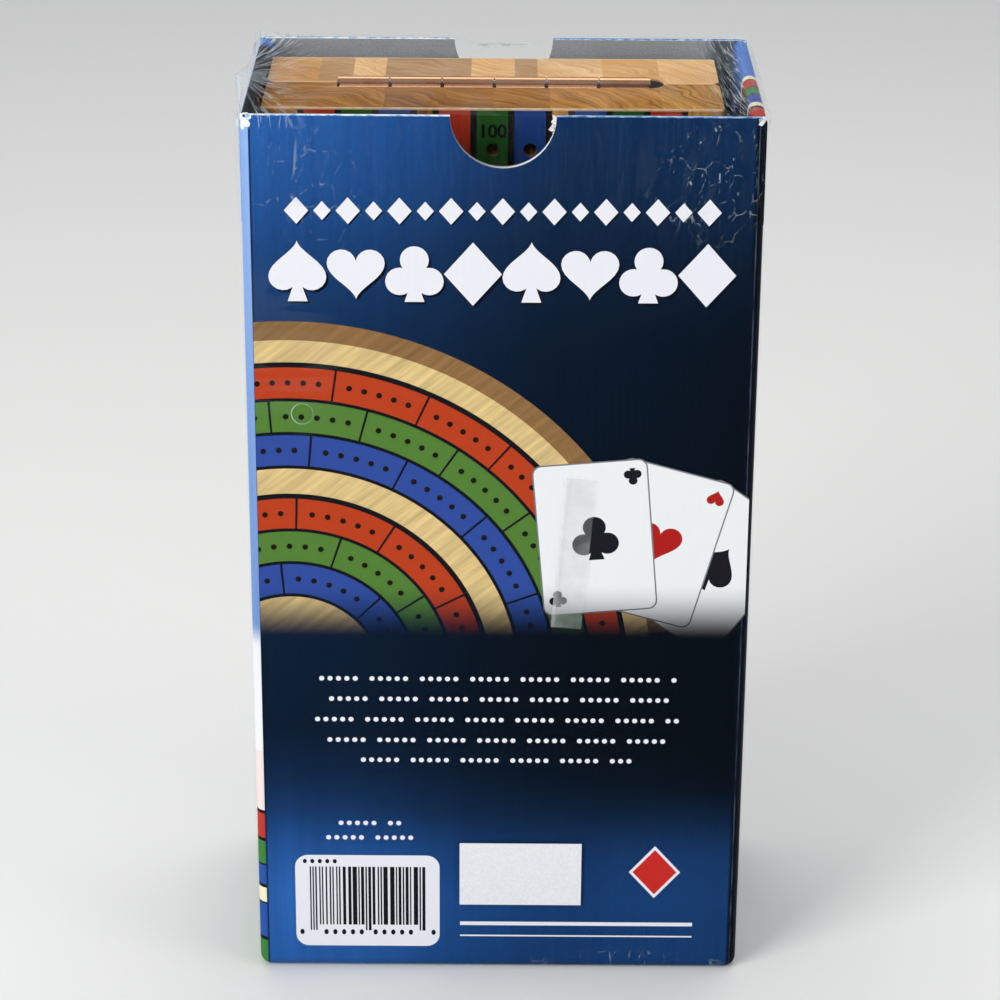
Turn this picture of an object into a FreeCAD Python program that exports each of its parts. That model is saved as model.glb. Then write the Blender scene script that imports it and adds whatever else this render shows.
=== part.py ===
import FreeCAD, Part
import math
import os
import re

import Sketcher
from FreeCAD import Placement, Rotation, Vector

# A retail carton of printed micro-flute board, open at the top, with a folded wooden cribbage
# board standing in it. The board's two halves are joined by a small butt hinge at the top end,
# nine pegs lie behind a sliding cover in one half, and a clear shrink film covers the whole.
#
# Frame: origin at the middle of the carton's underside, +Z up, -Y towards the printed panel that
# faces the viewer, +X to the viewer's right. Millimetres.

doc = FreeCAD.newDocument("boxed_cribbage_board")

SIZES = [
    # carton, made to fit round the folded board
    ("wall_ply", 1.5, "thickness of the fluted board"),
    ("front_gap", 11.9, "front panel to the board"),
    ("rear_gap", 7.3, "back panel to the board"),
    ("left_gap", 0.35, "left hem to the board"),
    ("right_gap", 4.55, "right hem to the board"),
    ("rim_rise", 2.1, "cut rim of the front and back panels above the board"),
    ("crease_round", 2.5, "outside radius of every crease"),
    ("hem_depth", 22.0, "how far the side panels' hems reach down inside"),
    ("notch_radius", 10.4, "half-round thumb notch in the front and back panels"),
    ("flap_gap", 0.3, "slit round the free edges of the bottom flaps"),
    ("dust_flap_length", 42.0, "side flap folded in under the board"),
    # wooden board
    ("half_width", 92.1, "3 5/8 in"),
    ("half_thick", 19.0, "3/4 in stock, planed"),
    ("half_length", 185.7, "half of the 14 5/8 in that the board opens to"),
    ("joint_gap", 0.1, "between the two undersides when folded"),
    ("inner_edge_round", 2.0, "long edges of the underside"),
    ("outer_edge_round", 0.8, "long edges of the track face"),
    # tracks
    ("lane_pitch", 7.5, "between neighbouring lanes of a street"),
    ("street_pitch", 26.9, "between neighbouring streets of three lanes"),
    ("hole_pitch", 5.75, "between neighbouring holes of a lane"),
    ("hole_radius", 1.35, "peg hole"),
    ("hole_depth", 8.0, "peg hole"),
    ("first_row", 3.0, "hinge end of the finish half to its first row of holes"),
    # hinge
    ("hinge_length", 63.5, "2 1/2 in butt hinge"),
    ("hinge_inset", 14.55, "board's left edge to the hinge"),
    ("knuckle_count", 6, "knuckles, every other one on the same leaf"),
    ("knuckle_gap", 0.3, "between neighbouring knuckles"),
    ("knuckle_radius", 1.25, "outside of the barrel"),
    ("pin_radius", 0.6, "hinge pin"),
    ("pin_clearance", 0.05, "pin to knuckle, on the radius"),
    ("leaf_thick", 0.8, "brass sheet"),
    ("leaf_height", 11.0, "barrel centre to the leaf's free edge"),
    ("leaf_clearance", 0.2, "round the leaf in its mortise, and under the barrel"),
    ("slot_half_width", 3.6, "routed slot that clears the barrel"),
    ("slot_depth", 3.0, "routed slot"),
    ("slot_overrun", 2.8, "slot's round end past the hinge"),
    ("screw_count", 4, "wood screws in each leaf"),
    ("screw_radius", 1.0, "shank"),
    ("screw_head_radius", 1.9, "countersunk head"),
    ("screw_length", 8.0, "in the wood"),
    # pegs
    ("peg_length", 30.0, "tip to crown"),
    ("peg_tip_radius", 1.15, "at the tip"),
    ("peg_waist_radius", 1.75, "at the end of the taper"),
    ("peg_groove_radius", 1.7, "between the grip rings"),
    ("peg_grip_radius", 2.0, "grip rings and head"),
    ("peg_crown_round", 1.4, "round of the head"),
    ("peg_ring_pitch", 2.4, "between grip rings"),
    ("peg_head_length", 3.4, "last grip ring to the crown"),
    ("peg_pitch", 4.3, "between neighbouring pegs in the store"),
    # peg store in the underside of the finish half
    ("store_clearance", 0.3, "round the pegs"),
    ("store_depth", 9.0, "below the underside"),
    ("store_foot", 60.0, "half's lower end to the store"),
    ("cover_thick", 2.4, "sliding dovetail cover"),
    ("cover_sink", 0.1, "cover below the underside, and above the channel's floor"),
    ("cover_lap", 3.4, "cover past the store on every side"),
    ("cover_bevel", 1.4, "flare of the dovetail on each side"),
    ("cover_clearance", 0.2, "cover to channel"),
    ("cover_travel", 36.0, "free length of the channel above the cover"),
    ("thumb_radius", 6.0, "thumb recess in the cover"),
    ("thumb_sink", 0.9, "thumb recess in the cover"),
    # wrapping
    ("film_gap", 0.3, "film to carton"),
    ("film_ply", 0.3, "film, thickened so that it is a solid"),
    ("film_foot", 0.8, "film's lower edge above the ground"),
    ("gather_radius", 2.6, "gathered film at each top corner"),
    ("gather_height", 2.2, "gathered film at each top corner"),
    ("pleat_reach", 2.2, "pleat that stands off each side"),
    ("pleat_length", 28.0, "pleat, front to back"),
    ("pleat_drop", 8.0, "pleat, below the rim"),
    ("vent_radius", 2.3, "round vent hole in the film"),
    ("vent_left", 10.6, "vent's centre to the carton's left edge"),
    ("vent_height", 128.9, "vent's centre above the ground"),
    ("label_width", 26.0, "paper label on the film"),
    ("label_height", 14.9, "paper label on the film"),
    ("label_ply", 0.12, "paper label on the film"),
    ("label_left", 43.2, "label's left edge to the carton's left edge"),
    ("label_foot", 16.2, "label's lower edge above the ground"),
    ("tape_width", 6.3, "strip of clear tape on the film"),
    ("tape_length", 33.6, "strip of clear tape on the film"),
    ("tape_ply", 0.1, "strip of clear tape on the film"),
    ("tape_left", 66.5, "strip's middle to the carton's left edge"),
    ("tape_height", 98.4, "strip's middle above the ground"),
    ("tape_tilt", 4.8, "degrees clockwise from upright"),
]

sheet = doc.addObject("Spreadsheet::Sheet", "Sizes")
for row, (alias, number, note) in enumerate(SIZES, start=1):
    sheet.set(f"A{row}", str(number))
    sheet.setAlias(f"A{row}", alias)
    sheet.set(f"B{row}", note)
doc.recompute()

ALIASES = {alias for alias, number, note in SIZES}


def size(alias):
    return float(sheet.get(alias))


def count(alias):
    return int(round(size(alias)))


def formula(text):
    """Turn plain size names into references to the sheet's cells."""
    return re.sub(r"[a-z]\w*", lambda word: "Sizes." + word[0] if word[0] in ALIASES else word[0], text)


# Places that many pieces share, as formulas of the sizes.
WIDTH = "(4*wall_ply + left_gap + half_width + right_gap)"              # carton, with its hems
DEPTH = "(2*wall_ply + front_gap + 2*half_thick + joint_gap + rear_gap)"
HEIGHT = "(2*wall_ply + half_length + rim_rise)"
FRONT = f"(-{DEPTH}/2)"
BACK = f"({DEPTH}/2)"
LEFT = f"(-{WIDTH}/2)"
STAND = "(2*wall_ply)"                                  # what the board stands on: two plies of flap
CREST = f"({STAND} + half_length)"                      # hinge end of the folded board
BOARD_LEFT = f"({LEFT} + 2*wall_ply + left_gap)"
BOARD_MID = f"({BOARD_LEFT} + half_width/2)"
START_FACE = f"({FRONT} + wall_ply + front_gap)"        # track face of the start half
START_UNDER = f"({START_FACE} + half_thick)"            # its underside
JOINT = f"({START_UNDER} + joint_gap/2)"                # plane between the undersides
FINISH_UNDER = f"({START_UNDER} + joint_gap)"
HINGE_LEFT = f"({BOARD_LEFT} + hinge_inset)"
KNUCKLE_PITCH = "((hinge_length + knuckle_gap)/knuckle_count)"
FILM_FACE = f"({FRONT} - film_gap - film_ply)"          # outer front face of the film
PEG_NAMES = [f"peg_{colour}_{number}" for colour in ("red", "green", "blue") for number in (1, 2, 3)]
STORE_WIDTH = f"({len(PEG_NAMES) - 1}*peg_pitch + 2*peg_grip_radius + 2*store_clearance)"
STORE_HEIGHT = "(peg_length + 2*store_clearance)"
STORE_FOOT = f"({STAND} + store_foot)"


# ---------------------------------------------------------------- building blocks

def place(shape, x, y, z, rotation=None):
    """Put a feature at a point given by three formulas, turned by a fixed rotation."""
    if rotation:
        shape.Placement = Placement(Vector(), rotation)
    for axis, text in zip("xyz", (x, y, z)):
        shape.setExpression(f"Placement.Base.{axis}", formula(text))
    return shape


def box(x, y, z, dx, dy, dz):
    """Block with its lowest corner at x, y, z."""
    block = doc.addObject("Part::Box", "Block")
    for name, text in (("Length", dx), ("Width", dy), ("Height", dz)):
        block.setExpression(name, formula(text))
    return place(block, x, y, z)


TURN_TO = {
    "+X": Rotation(Vector(0, 0, 1), Vector(1, 0, 0)),
    "+Y": Rotation(Vector(0, 0, 1), Vector(0, 1, 0)),
    "-Y": Rotation(Vector(0, 0, 1), Vector(0, -1, 0)),
    "+Z": None,
}


def cylinder(x, y, z, way, radius, length):
    """Cylinder that starts at x, y, z and runs the given way."""
    rod = doc.addObject("Part::Cylinder", "Rod")
    rod.setExpression("Radius", formula(radius))
    rod.setExpression("Height", formula(length))
    return place(rod, x, y, z, TURN_TO[way])


def cone(x, y, z, way, radius, end_radius, length):
    taper = doc.addObject("Part::Cone", "Taper")
    taper.setExpression("Radius1", formula(radius))
    taper.setExpression("Radius2", formula(end_radius))
    taper.setExpression("Height", formula(length))
    return place(taper, x, y, z, TURN_TO[way])


def wedge(x, y, z, near, far, dy):
    """Block whose section in XZ changes along Y from near to far, each (x0, x1, z0, z1)."""
    block = doc.addObject("Part::Wedge", "Wedge")
    names = ("Xmin", "Xmax", "Zmin", "Zmax", "X2min", "X2max", "Z2min", "Z2max", "Ymin", "Ymax")
    for name, text in zip(names, near + far + ("0", dy)):
        block.setExpression(name, formula(text))
    return place(block, x, y, z)


def fuse(label, pieces):
    joined = doc.addObject("Part::MultiFuse", "Fuse")
    joined.Shapes = pieces
    joined.Label = label
    return joined


def cut(label, base, tools):
    rest = doc.addObject("Part::Cut", "Cut")
    rest.Base = base
    rest.Tool = fuse(label + "_tools", tools) if len(tools) > 1 else tools[0]
    rest.Label = label
    return rest


def group(label, pieces):
    """Separate solids that share one node."""
    several = doc.addObject("Part::Compound", "Group")
    several.Links = pieces
    several.Label = label
    return several


def body(label, x="0", y="0", z="0", rotation=None):
    part = doc.addObject("PartDesign::Body", "Body")
    part.Label = label
    return place(part, x, y, z, rotation)


def polygon(part, role, corners):
    """Closed sketch on an origin plane, with every corner tied to the sheet."""
    sketch = part.newObject("Sketcher::SketchObject", "Outline")
    plane = [feature for feature in part.Origin.OriginFeatures if feature.Role == role][0]
    sketch.AttachmentSupport = [(plane, "")]
    sketch.MapMode = "FlatFace"
    turn = 2 * math.pi / len(corners)
    ring = [Vector(10 * math.cos(i * turn), 10 * math.sin(i * turn), 0) for i in range(len(corners))]
    for i, start in enumerate(ring):
        sketch.addGeometry(Part.LineSegment(start, ring[(i + 1) % len(ring)]), False)
    for i in range(len(ring)):
        sketch.addConstraint(Sketcher.Constraint("Coincident", i, 2, (i + 1) % len(ring), 1))
    for i, (across, up) in enumerate(corners):
        for kind, text, start in (("DistanceX", across, ring[i].x), ("DistanceY", up, ring[i].y)):
            index = sketch.addConstraint(Sketcher.Constraint(kind, -1, 1, i, 1, start))
            sketch.setExpression(f"Constraints[{index}]", formula(text))
    return sketch


def rectangle(part, role, x0, y0, x1, y1):
    return polygon(part, role, [(x0, y0), (x1, y0), (x1, y1), (x0, y1)])


def pad(part, sketch, length, reverse=False):
    solid = part.newObject("PartDesign::Pad", "Pad")
    solid.Profile = sketch
    solid.setExpression("Length", formula(length))
    solid.Reversed = reverse
    part.Tip = solid
    doc.recompute()
    return solid


def fillet(part, radius, wanted):
    """Round the edges of the body's tip for which wanted(edge) holds."""
    base = part.Tip
    edges = [f"Edge{i}" for i, edge in enumerate(base.Shape.Edges, start=1) if wanted(edge)]
    rounding = part.newObject("PartDesign::Fillet", "Fillet")
    rounding.Base = (base, edges)
    rounding.setExpression("Radius", formula(radius))
    part.Tip = rounding
    doc.recompute()
    return rounding


NEAR = 1e-4


def runs_along(edge, axis):
    spans = {"X": edge.BoundBox.XLength, "Y": edge.BoundBox.YLength, "Z": edge.BoundBox.ZLength}
    return all(span < NEAR for name, span in spans.items() if name != axis)


# ---------------------------------------------------------------- carton

def make_carton():
    """Printed wrap: four walls, creased bottom edge, hemmed side panels and two thumb notches."""
    blank = body("carton_blank")
    pad(blank, rectangle(blank, "XY_Plane", LEFT, FRONT, f"-{LEFT}", BACK), HEIGHT)
    fillet(blank, "crease_round", lambda edge: runs_along(edge, "Z") or edge.BoundBox.ZMax < NEAR)
    inner_width = f"({WIDTH} - 2*wall_ply)"
    inner_depth = f"({DEPTH} - 2*wall_ply)"
    tools = [
        box(f"{LEFT} + wall_ply", f"{FRONT} + wall_ply", "wall_ply", inner_width, inner_depth,
            HEIGHT),
        box(f"{LEFT} + crease_round", f"{FRONT} + crease_round", "-wall_ply",
            f"{WIDTH} - 2*crease_round", f"{DEPTH} - 2*crease_round", "3*wall_ply"),
        cylinder("0", f"{FRONT} - wall_ply", HEIGHT, "+Y", "notch_radius",
                 f"{DEPTH} + 2*wall_ply"),
    ]
    hems = []
    for side in (-1, 1):
        outside = f"({side}*{WIDTH}/2)"
        middle = f"({outside} - {side}*wall_ply)"
        tools.append(box(f"{middle} - wall_ply", f"{FRONT} + wall_ply", f"{HEIGHT} - wall_ply",
                         "2*wall_ply", inner_depth, "2*wall_ply"))
        hems.append(box(f"{middle} - wall_ply", f"{FRONT} + wall_ply", f"{HEIGHT} - hem_depth",
                        "2*wall_ply", inner_depth, "hem_depth - wall_ply"))
        hems.append(cylinder(middle, f"{FRONT} + wall_ply", f"{HEIGHT} - wall_ply", "+Y",
                             "wall_ply", inner_depth))
    fuse("carton_wrap", [cut("carton_walls", blank, tools)] + hems)


def make_bottom_flaps():
    """Outer closing flap in the bottom window, and two dust flaps that lie on it."""
    flap = body("bottom_closing_flap")
    rim = "crease_round"
    outline = rectangle(flap, "XY_Plane", f"{LEFT} + {rim} + flap_gap", f"{FRONT} + {rim} + flap_gap",
                        f"-{LEFT} - {rim} - flap_gap", f"{BACK} - {rim}")
    pad(flap, outline, "wall_ply")
    depth = f"{DEPTH} - 2*wall_ply - 2*flap_gap"
    front = f"{FRONT} + wall_ply + flap_gap"
    group("bottom_dust_flaps", [
        box(f"{LEFT} + wall_ply", front, "wall_ply", "dust_flap_length", depth, "wall_ply"),
        box(f"-{LEFT} - wall_ply - dust_flap_length", front, "wall_ply", "dust_flap_length", depth,
            "wall_ply"),
    ])


# ---------------------------------------------------------------- wooden board

HOLES_IN_BLOCK = 5          # five holes, then a gap of two pitches for the number
BLOCK_PITCHES = HOLES_IN_BLOCK + 1
START_BLOCKS = 3            # blocks of a straight on the start half
FINISH_BLOCKS = 4           # and on the finish half
LANES = (-1, 0, 1)


def block_rows(first, blocks):
    """Distances from the hinge end of every row of holes on the straights."""
    pitch = size("hole_pitch")
    return [first + (block * BLOCK_PITCHES + hole) * pitch
            for block in range(blocks) for hole in range(HOLES_IN_BLOCK)]


def arc_holes(middle, distance, radii, blocks):
    """Holes of a half-turn round a point on the board, as (x, distance from the hinge end)."""
    steps = blocks * BLOCK_PITCHES
    turns = [math.pi * step / steps for step in range(1, steps) if step % BLOCK_PITCHES]
    return [(middle + radius * math.cos(turn), distance + radius * math.sin(turn))
            for radius in radii for turn in turns]


def street_rows(rows, streets):
    lanes = [street * size("street_pitch") + lane * size("lane_pitch")
             for street in streets for lane in LANES]
    return [(lane, row) for lane in lanes for row in rows]


def start_holes():
    """Three straights, the small turn from the right street to the middle one, and start holes."""
    pitch = size("hole_pitch")
    rows = block_rows(2 * pitch - size("first_row"), START_BLOCKS)
    bend = rows[-1] + pitch
    radii = [size("street_pitch") / 2 + lane * size("lane_pitch") for lane in LANES]
    waiting = [bend + pitch, bend + 2 * pitch]
    return (street_rows(rows, (-1, 0, 1)) + arc_holes(size("street_pitch") / 2, bend, radii, 1)
            + street_rows(waiting, (-1,)))


def finish_holes():
    """Three straights, the big turn round the end of the middle street, and the last hole."""
    pitch = size("hole_pitch")
    rows = block_rows(size("first_row"), FINISH_BLOCKS)
    bend = rows[-1] + pitch
    radii = [size("street_pitch") + lane * size("lane_pitch") for lane in LANES]
    return street_rows(rows, (-1, 0, 1)) + arc_holes(0, bend, radii, 2) + [(0, bend + pitch)]


def drills(holes, face, side):
    """Peg holes at (x, distance from the hinge end), sunk into the track face at the given Y."""
    bits = [Part.makeCylinder(size("hole_radius"), size("hole_depth"), Vector(x, 0, -down),
                              Vector(0, -side, 0)) for x, down in holes]
    pattern = doc.addObject("Part::Feature", "Drills")
    pattern.Shape = Part.makeCompound(bits)
    return place(pattern, BOARD_MID, face, CREST)


def half_blank(label, face, side):
    """Planed block with rounded long edges, from the formula of its lowest Y.

    side is -1 for the start half, whose underside is its highest Y, and 1 for the other.
    """
    wood = body(label, z=STAND)
    pad(wood, rectangle(wood, "XY_Plane", BOARD_LEFT, face, f"{BOARD_LEFT} + half_width",
                        f"{face} + half_thick"), "half_length")
    span = wood.Tip.Shape.BoundBox
    under, track = (span.YMin, span.YMax) if side > 0 else (span.YMax, span.YMin)

    for y, radius in ((under, "inner_edge_round"), (track, "outer_edge_round")):
        fillet(wood, radius, lambda edge: runs_along(edge, "Z") and abs(edge.BoundBox.YMin - y) < NEAR)
    return wood


def hinge_cuts(under, side):
    """Barrel slot, leaf mortise and screw holes; side is -1 in the start half, 1 in the other."""
    slot_end = f"({HINGE_LEFT} + hinge_length + slot_overrun - slot_half_width)"
    slot_foot = f"({CREST} - slot_depth)"
    tall = "2*slot_depth"
    tools = [
        box(f"{HINGE_LEFT} - leaf_clearance", f"{JOINT} - slot_half_width", slot_foot,
            f"{slot_end} - {HINGE_LEFT} + leaf_clearance", "2*slot_half_width", tall),
        cylinder(slot_end, JOINT, slot_foot, "+Z", "slot_half_width", tall),
        box(f"{HINGE_LEFT} - leaf_clearance", f"{under} - leaf_thick",
            f"{CREST} - leaf_height - leaf_clearance", "hinge_length + 2*leaf_clearance",
            "2*leaf_thick", "leaf_height + 2*leaf_clearance"),
    ]
    for x, z in screw_places():
        tools.append(cylinder(x, f"{under} + {side}*leaf_thick", z, "+Y" if side > 0 else "-Y",
                              "screw_radius", "screw_length"))
    return tools


def make_start_half():
    blank = half_blank("start_half_blank", START_FACE, -1)
    cut("start_half", blank, hinge_cuts(START_UNDER, -1) + [drills(start_holes(), START_FACE, -1)])


def make_finish_half():
    """The half with the peg store: a pocket under a dovetail channel for its cover."""
    blank = half_blank("finish_half_blank", FINISH_UNDER, 1)
    pocket = box(f"{BOARD_MID} - {STORE_WIDTH}/2", FINISH_UNDER, STORE_FOOT, STORE_WIDTH,
                 "store_depth", STORE_HEIGHT)
    slack = "cover_clearance"
    low = f"({STORE_FOOT} - cover_lap - {slack})"
    high = f"({STORE_FOOT} + {STORE_HEIGHT} + cover_lap + cover_travel + {slack})"
    mouth = f"({STORE_WIDTH}/2 + cover_lap + {slack})"
    channel = wedge(BOARD_MID, FINISH_UNDER, "0",
                    (f"-{mouth}", mouth, low, high),
                    (f"-{mouth} - cover_bevel", f"{mouth} + cover_bevel", low, high),
                    "cover_thick + 2*cover_sink")
    cut("finish_half", blank, hinge_cuts(FINISH_UNDER, 1)
        + [pocket, channel, drills(finish_holes(), f"{FINISH_UNDER} + half_thick", 1)])


def make_store_cover():
    """Dovetail plate that slides up its channel, with a shallow thumb recess."""
    reach = f"({STORE_WIDTH}/2 + cover_lap)"
    low = f"({STORE_FOOT} - cover_lap)"
    high = f"({STORE_FOOT} + {STORE_HEIGHT} + cover_lap)"
    plate = wedge(BOARD_MID, f"{FINISH_UNDER} + cover_sink", "0",
                  (f"-{reach}", reach, low, high),
                  (f"-{reach} - cover_bevel", f"{reach} + cover_bevel", low, high), "cover_thick")
    thumb = cylinder(BOARD_MID, FINISH_UNDER, f"({low} + {high})/2", "+Y", "thumb_radius",
                     "cover_sink + thumb_sink")
    cut("peg_store_cover", plate, [thumb])


# ---------------------------------------------------------------- hinge

def screw_places():
    """(x, z) of the screws of either leaf, in the middle of the flat part of the leaf."""
    number = count("screw_count")
    z = f"({CREST} - (leaf_height + knuckle_radius + leaf_clearance)/2)"
    return [(f"({HINGE_LEFT} + {i + 0.5}*hinge_length/screw_count)", z) for i in range(number)]


def make_leaf(label, under, side, first):
    """Flat leaf with every other knuckle, bored for the pin and countersunk for the screws.

    under is the underside that the leaf lies flush with, side is -1 or 1, and first is the
    number of its first knuckle.
    """
    flat = under if side > 0 else f"{under} - leaf_thick"
    pieces = [box(HINGE_LEFT, flat, f"{CREST} - leaf_height", "hinge_length", "leaf_thick",
                  "leaf_height - knuckle_radius - leaf_clearance")]
    length = f"{KNUCKLE_PITCH} - knuckle_gap"
    for i in range(first, count("knuckle_count"), 2):
        left = f"{HINGE_LEFT} + {i}*{KNUCKLE_PITCH}"
        pieces.append(cylinder(left, JOINT, CREST, "+X", "knuckle_radius", length))
        pieces.append(box(left, flat, f"{CREST} - knuckle_radius - 2*leaf_clearance", length,
                          "leaf_thick", "knuckle_radius + 2*leaf_clearance"))
    bores = [cylinder(f"{HINGE_LEFT} - leaf_clearance", JOINT, CREST, "+X",
                      "pin_radius + pin_clearance", "hinge_length + 2*leaf_clearance")]
    for x, z in screw_places():
        bores.append(cone(x, under, z, "+Y" if side > 0 else "-Y", "screw_head_radius",
                          "screw_radius", "leaf_thick"))
    cut(label, fuse(label + "_plate", pieces), bores)


def make_hinge():
    make_leaf("hinge_leaf_start", START_UNDER, -1, 0)
    make_leaf("hinge_leaf_finish", FINISH_UNDER, 1, 1)
    pin = cylinder(HINGE_LEFT, JOINT, CREST, "+X", "pin_radius", "hinge_length")
    pin.Label = "hinge_pin"
    for label, under, side in (("hinge_screws_start", START_UNDER, -1),
                               ("hinge_screws_finish", FINISH_UNDER, 1)):
        way = "+Y" if side > 0 else "-Y"
        screws = []
        for x, z in screw_places():
            head = cone(x, under, z, way, "screw_head_radius", "screw_radius", "leaf_thick")
            shank = cylinder(x, f"{under} + {side}*leaf_thick", z, way, "screw_radius",
                             "screw_length")
            screws.append(fuse("screw", [head, shank]))
        group(label, screws)


# ---------------------------------------------------------------- pegs

GRIP_RINGS = 4


def make_peg(label, place_in_row):
    """Turned peg: a long taper, grip rings and a rounded crown, standing on its tip."""
    across = place_in_row - (len(PEG_NAMES) - 1) / 2
    axis = f"{FINISH_UNDER} + store_depth - store_clearance - peg_grip_radius"
    peg = body(label, f"{BOARD_MID} + {across}*peg_pitch", axis, f"{STORE_FOOT} + store_clearance")
    taper = f"(peg_length - peg_head_length - {GRIP_RINGS}*peg_ring_pitch)"
    outline = [("0", "0"), ("peg_tip_radius", "0"), ("peg_waist_radius", taper)]
    for ring in range(GRIP_RINGS):
        foot = f"({taper} + {ring}*peg_ring_pitch)"
        outline += [("peg_grip_radius", f"{foot} + peg_ring_pitch/4"),
                    ("peg_grip_radius", f"{foot} + peg_ring_pitch/2"),
                    ("peg_groove_radius", f"{foot} + 3*peg_ring_pitch/4"),
                    ("peg_groove_radius", f"{foot} + peg_ring_pitch")]
    outline += [("peg_grip_radius", "peg_length - peg_head_length + peg_ring_pitch/4"),
                ("peg_grip_radius", "peg_length"), ("0", "peg_length")]
    turned = peg.newObject("PartDesign::Revolution", "Turned")
    turned.Profile = polygon(peg, "XZ_Plane", outline)
    turned.ReferenceAxis = (turned.Profile[0], ["V_Axis"])
    turned.Angle = 360
    peg.Tip = turned
    doc.recompute()
    crown = size("peg_length")
    fillet(peg, "peg_crown_round",
           lambda edge: abs(edge.BoundBox.ZMin - crown) < NEAR and edge.Length > NEAR)


# ---------------------------------------------------------------- wrapping

def make_film():
    """Shrink film: a sleeve closed over the top, with gathers, side pleats and a vent hole."""
    outer = body("film_outside", z="film_foot")
    grown = "(film_gap + film_ply)"
    pad(outer, rectangle(outer, "XY_Plane", f"{LEFT} - {grown}", f"{FRONT} - {grown}",
                         f"-{LEFT} + {grown}", f"{BACK} + {grown}"),
        f"{HEIGHT} + {grown} - film_foot")
    fillet(outer, f"crease_round + {grown}", lambda edge: runs_along(edge, "Z"))
    inner = body("film_inside")
    pad(inner, rectangle(inner, "XY_Plane", f"{LEFT} - film_gap", f"{FRONT} - film_gap",
                         f"-{LEFT} + film_gap", f"{BACK} + film_gap"), f"{HEIGHT} + film_gap")
    fillet(inner, "crease_round + film_gap", lambda edge: runs_along(edge, "Z"))
    crest = f"({HEIGHT} + {grown})"
    gathers = [cone(f"{side}*({WIDTH}/2 - gather_radius)", f"{end}*({DEPTH}/2 - gather_radius)",
                    crest, "+Z", "gather_radius", "gather_radius/3", "gather_height")
               for side in (-1, 1) for end in (-1, 1)]
    pleats = []
    for side in (-1, 1):
        pleat = wedge("0", "0", "0", ("0", "pleat_length", "0", "pleat_drop"),
                      ("pleat_length*2/5", "pleat_length*3/5", "pleat_drop*2/5", "pleat_drop*3/5"),
                      "pleat_reach")
        pleats.append(place(pleat, f"{side}*({WIDTH}/2 + {grown})", f"{side}*pleat_length/2",
                            f"{crest} - pleat_drop", Rotation(Vector(0, 0, 1), -90 * side)))
    vent = cylinder(f"{LEFT} + vent_left", FILM_FACE, "vent_height", "+Y", "vent_radius",
                    "film_ply + film_gap")
    cut("shrink_film", fuse("film_with_gathers", [outer] + pleats + gathers), [inner, vent])


def make_stickers():
    """Blank paper label and a strip of clear tape, both stuck on the front of the film."""
    label = body("blank_label", f"{LEFT} + label_left", FILM_FACE, "label_foot")
    pad(label, rectangle(label, "XZ_Plane", "0", "0", "label_width", "label_height"), "label_ply")
    tape = body("clear_tape", f"{LEFT} + tape_left", FILM_FACE, "tape_height",
                Rotation(Vector(0, 1, 0), size("tape_tilt")))
    pad(tape, rectangle(tape, "XZ_Plane", "-tape_width/2", "-tape_length/2", "tape_width/2",
                        "tape_length/2"), "tape_ply")


make_carton()
make_bottom_flaps()
make_start_half()
make_finish_half()
make_store_cover()
make_hinge()
for place_in_row, name in enumerate(PEG_NAMES):
    make_peg(name, place_in_row)
make_film()
make_stickers()
doc.recompute()

NODES = ["carton_wrap", "bottom_closing_flap", "bottom_dust_flaps", "start_half", "finish_half",
         "hinge_leaf_start", "hinge_leaf_finish", "hinge_pin", "hinge_screws_start",
         "hinge_screws_finish", "peg_store_cover"] + PEG_NAMES + ["shrink_film", "blank_label",
                                                                  "clear_tape"]

for feature in doc.Objects:
    if {"Invalid", "Error"} & set(feature.State):
        raise RuntimeError(f"{feature.Label} did not compute: {feature.State}")

os.makedirs("parts", exist_ok=True)
for name in NODES:
    shape = doc.getObjectsByLabel(name)[0].Shape
    if shape.isNull() or not shape.isValid():
        raise RuntimeError(f"{name} has no valid shape")
    shape.exportStep(f"parts/{name}.step")
    print(f"{name}: {len(shape.Solids)} solid, {shape.Volume:.1f} mm3, {shape.BoundBox}")
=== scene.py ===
import math
import random

import bmesh
import bpy
from mathutils import Matrix, Vector, noise


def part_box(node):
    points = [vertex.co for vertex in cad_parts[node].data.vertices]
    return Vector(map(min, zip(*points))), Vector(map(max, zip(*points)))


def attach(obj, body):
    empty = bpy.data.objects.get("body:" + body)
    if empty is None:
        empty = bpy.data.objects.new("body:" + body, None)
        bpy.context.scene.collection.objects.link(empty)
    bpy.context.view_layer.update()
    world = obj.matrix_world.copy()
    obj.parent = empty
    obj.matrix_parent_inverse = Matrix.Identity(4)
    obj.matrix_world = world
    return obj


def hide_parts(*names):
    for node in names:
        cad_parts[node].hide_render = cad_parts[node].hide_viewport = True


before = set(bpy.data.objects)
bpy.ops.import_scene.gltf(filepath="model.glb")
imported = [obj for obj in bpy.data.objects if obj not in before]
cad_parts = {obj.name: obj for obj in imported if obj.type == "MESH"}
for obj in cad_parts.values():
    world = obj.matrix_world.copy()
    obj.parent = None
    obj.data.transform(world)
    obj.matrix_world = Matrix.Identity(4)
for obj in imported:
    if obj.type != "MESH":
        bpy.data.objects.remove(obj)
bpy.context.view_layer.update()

MM = 0.001


# ---------------------------------------------------------------- studio
# A plain pale table top that curves up all round, far off, one big soft lamp to the left of the
# carton, one above it and a weak one to the right. The table and lamps are not part of the object.

def linear(code):
    """Linear colour of an sRGB hex code."""
    parts = [int(code[i:i + 2], 16) / 255 for i in (1, 3, 5)]
    return tuple(p / 12.92 if p <= 0.04045 else ((p + 0.055) / 1.055) ** 2.4 for p in parts) + (1.0,)


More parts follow.
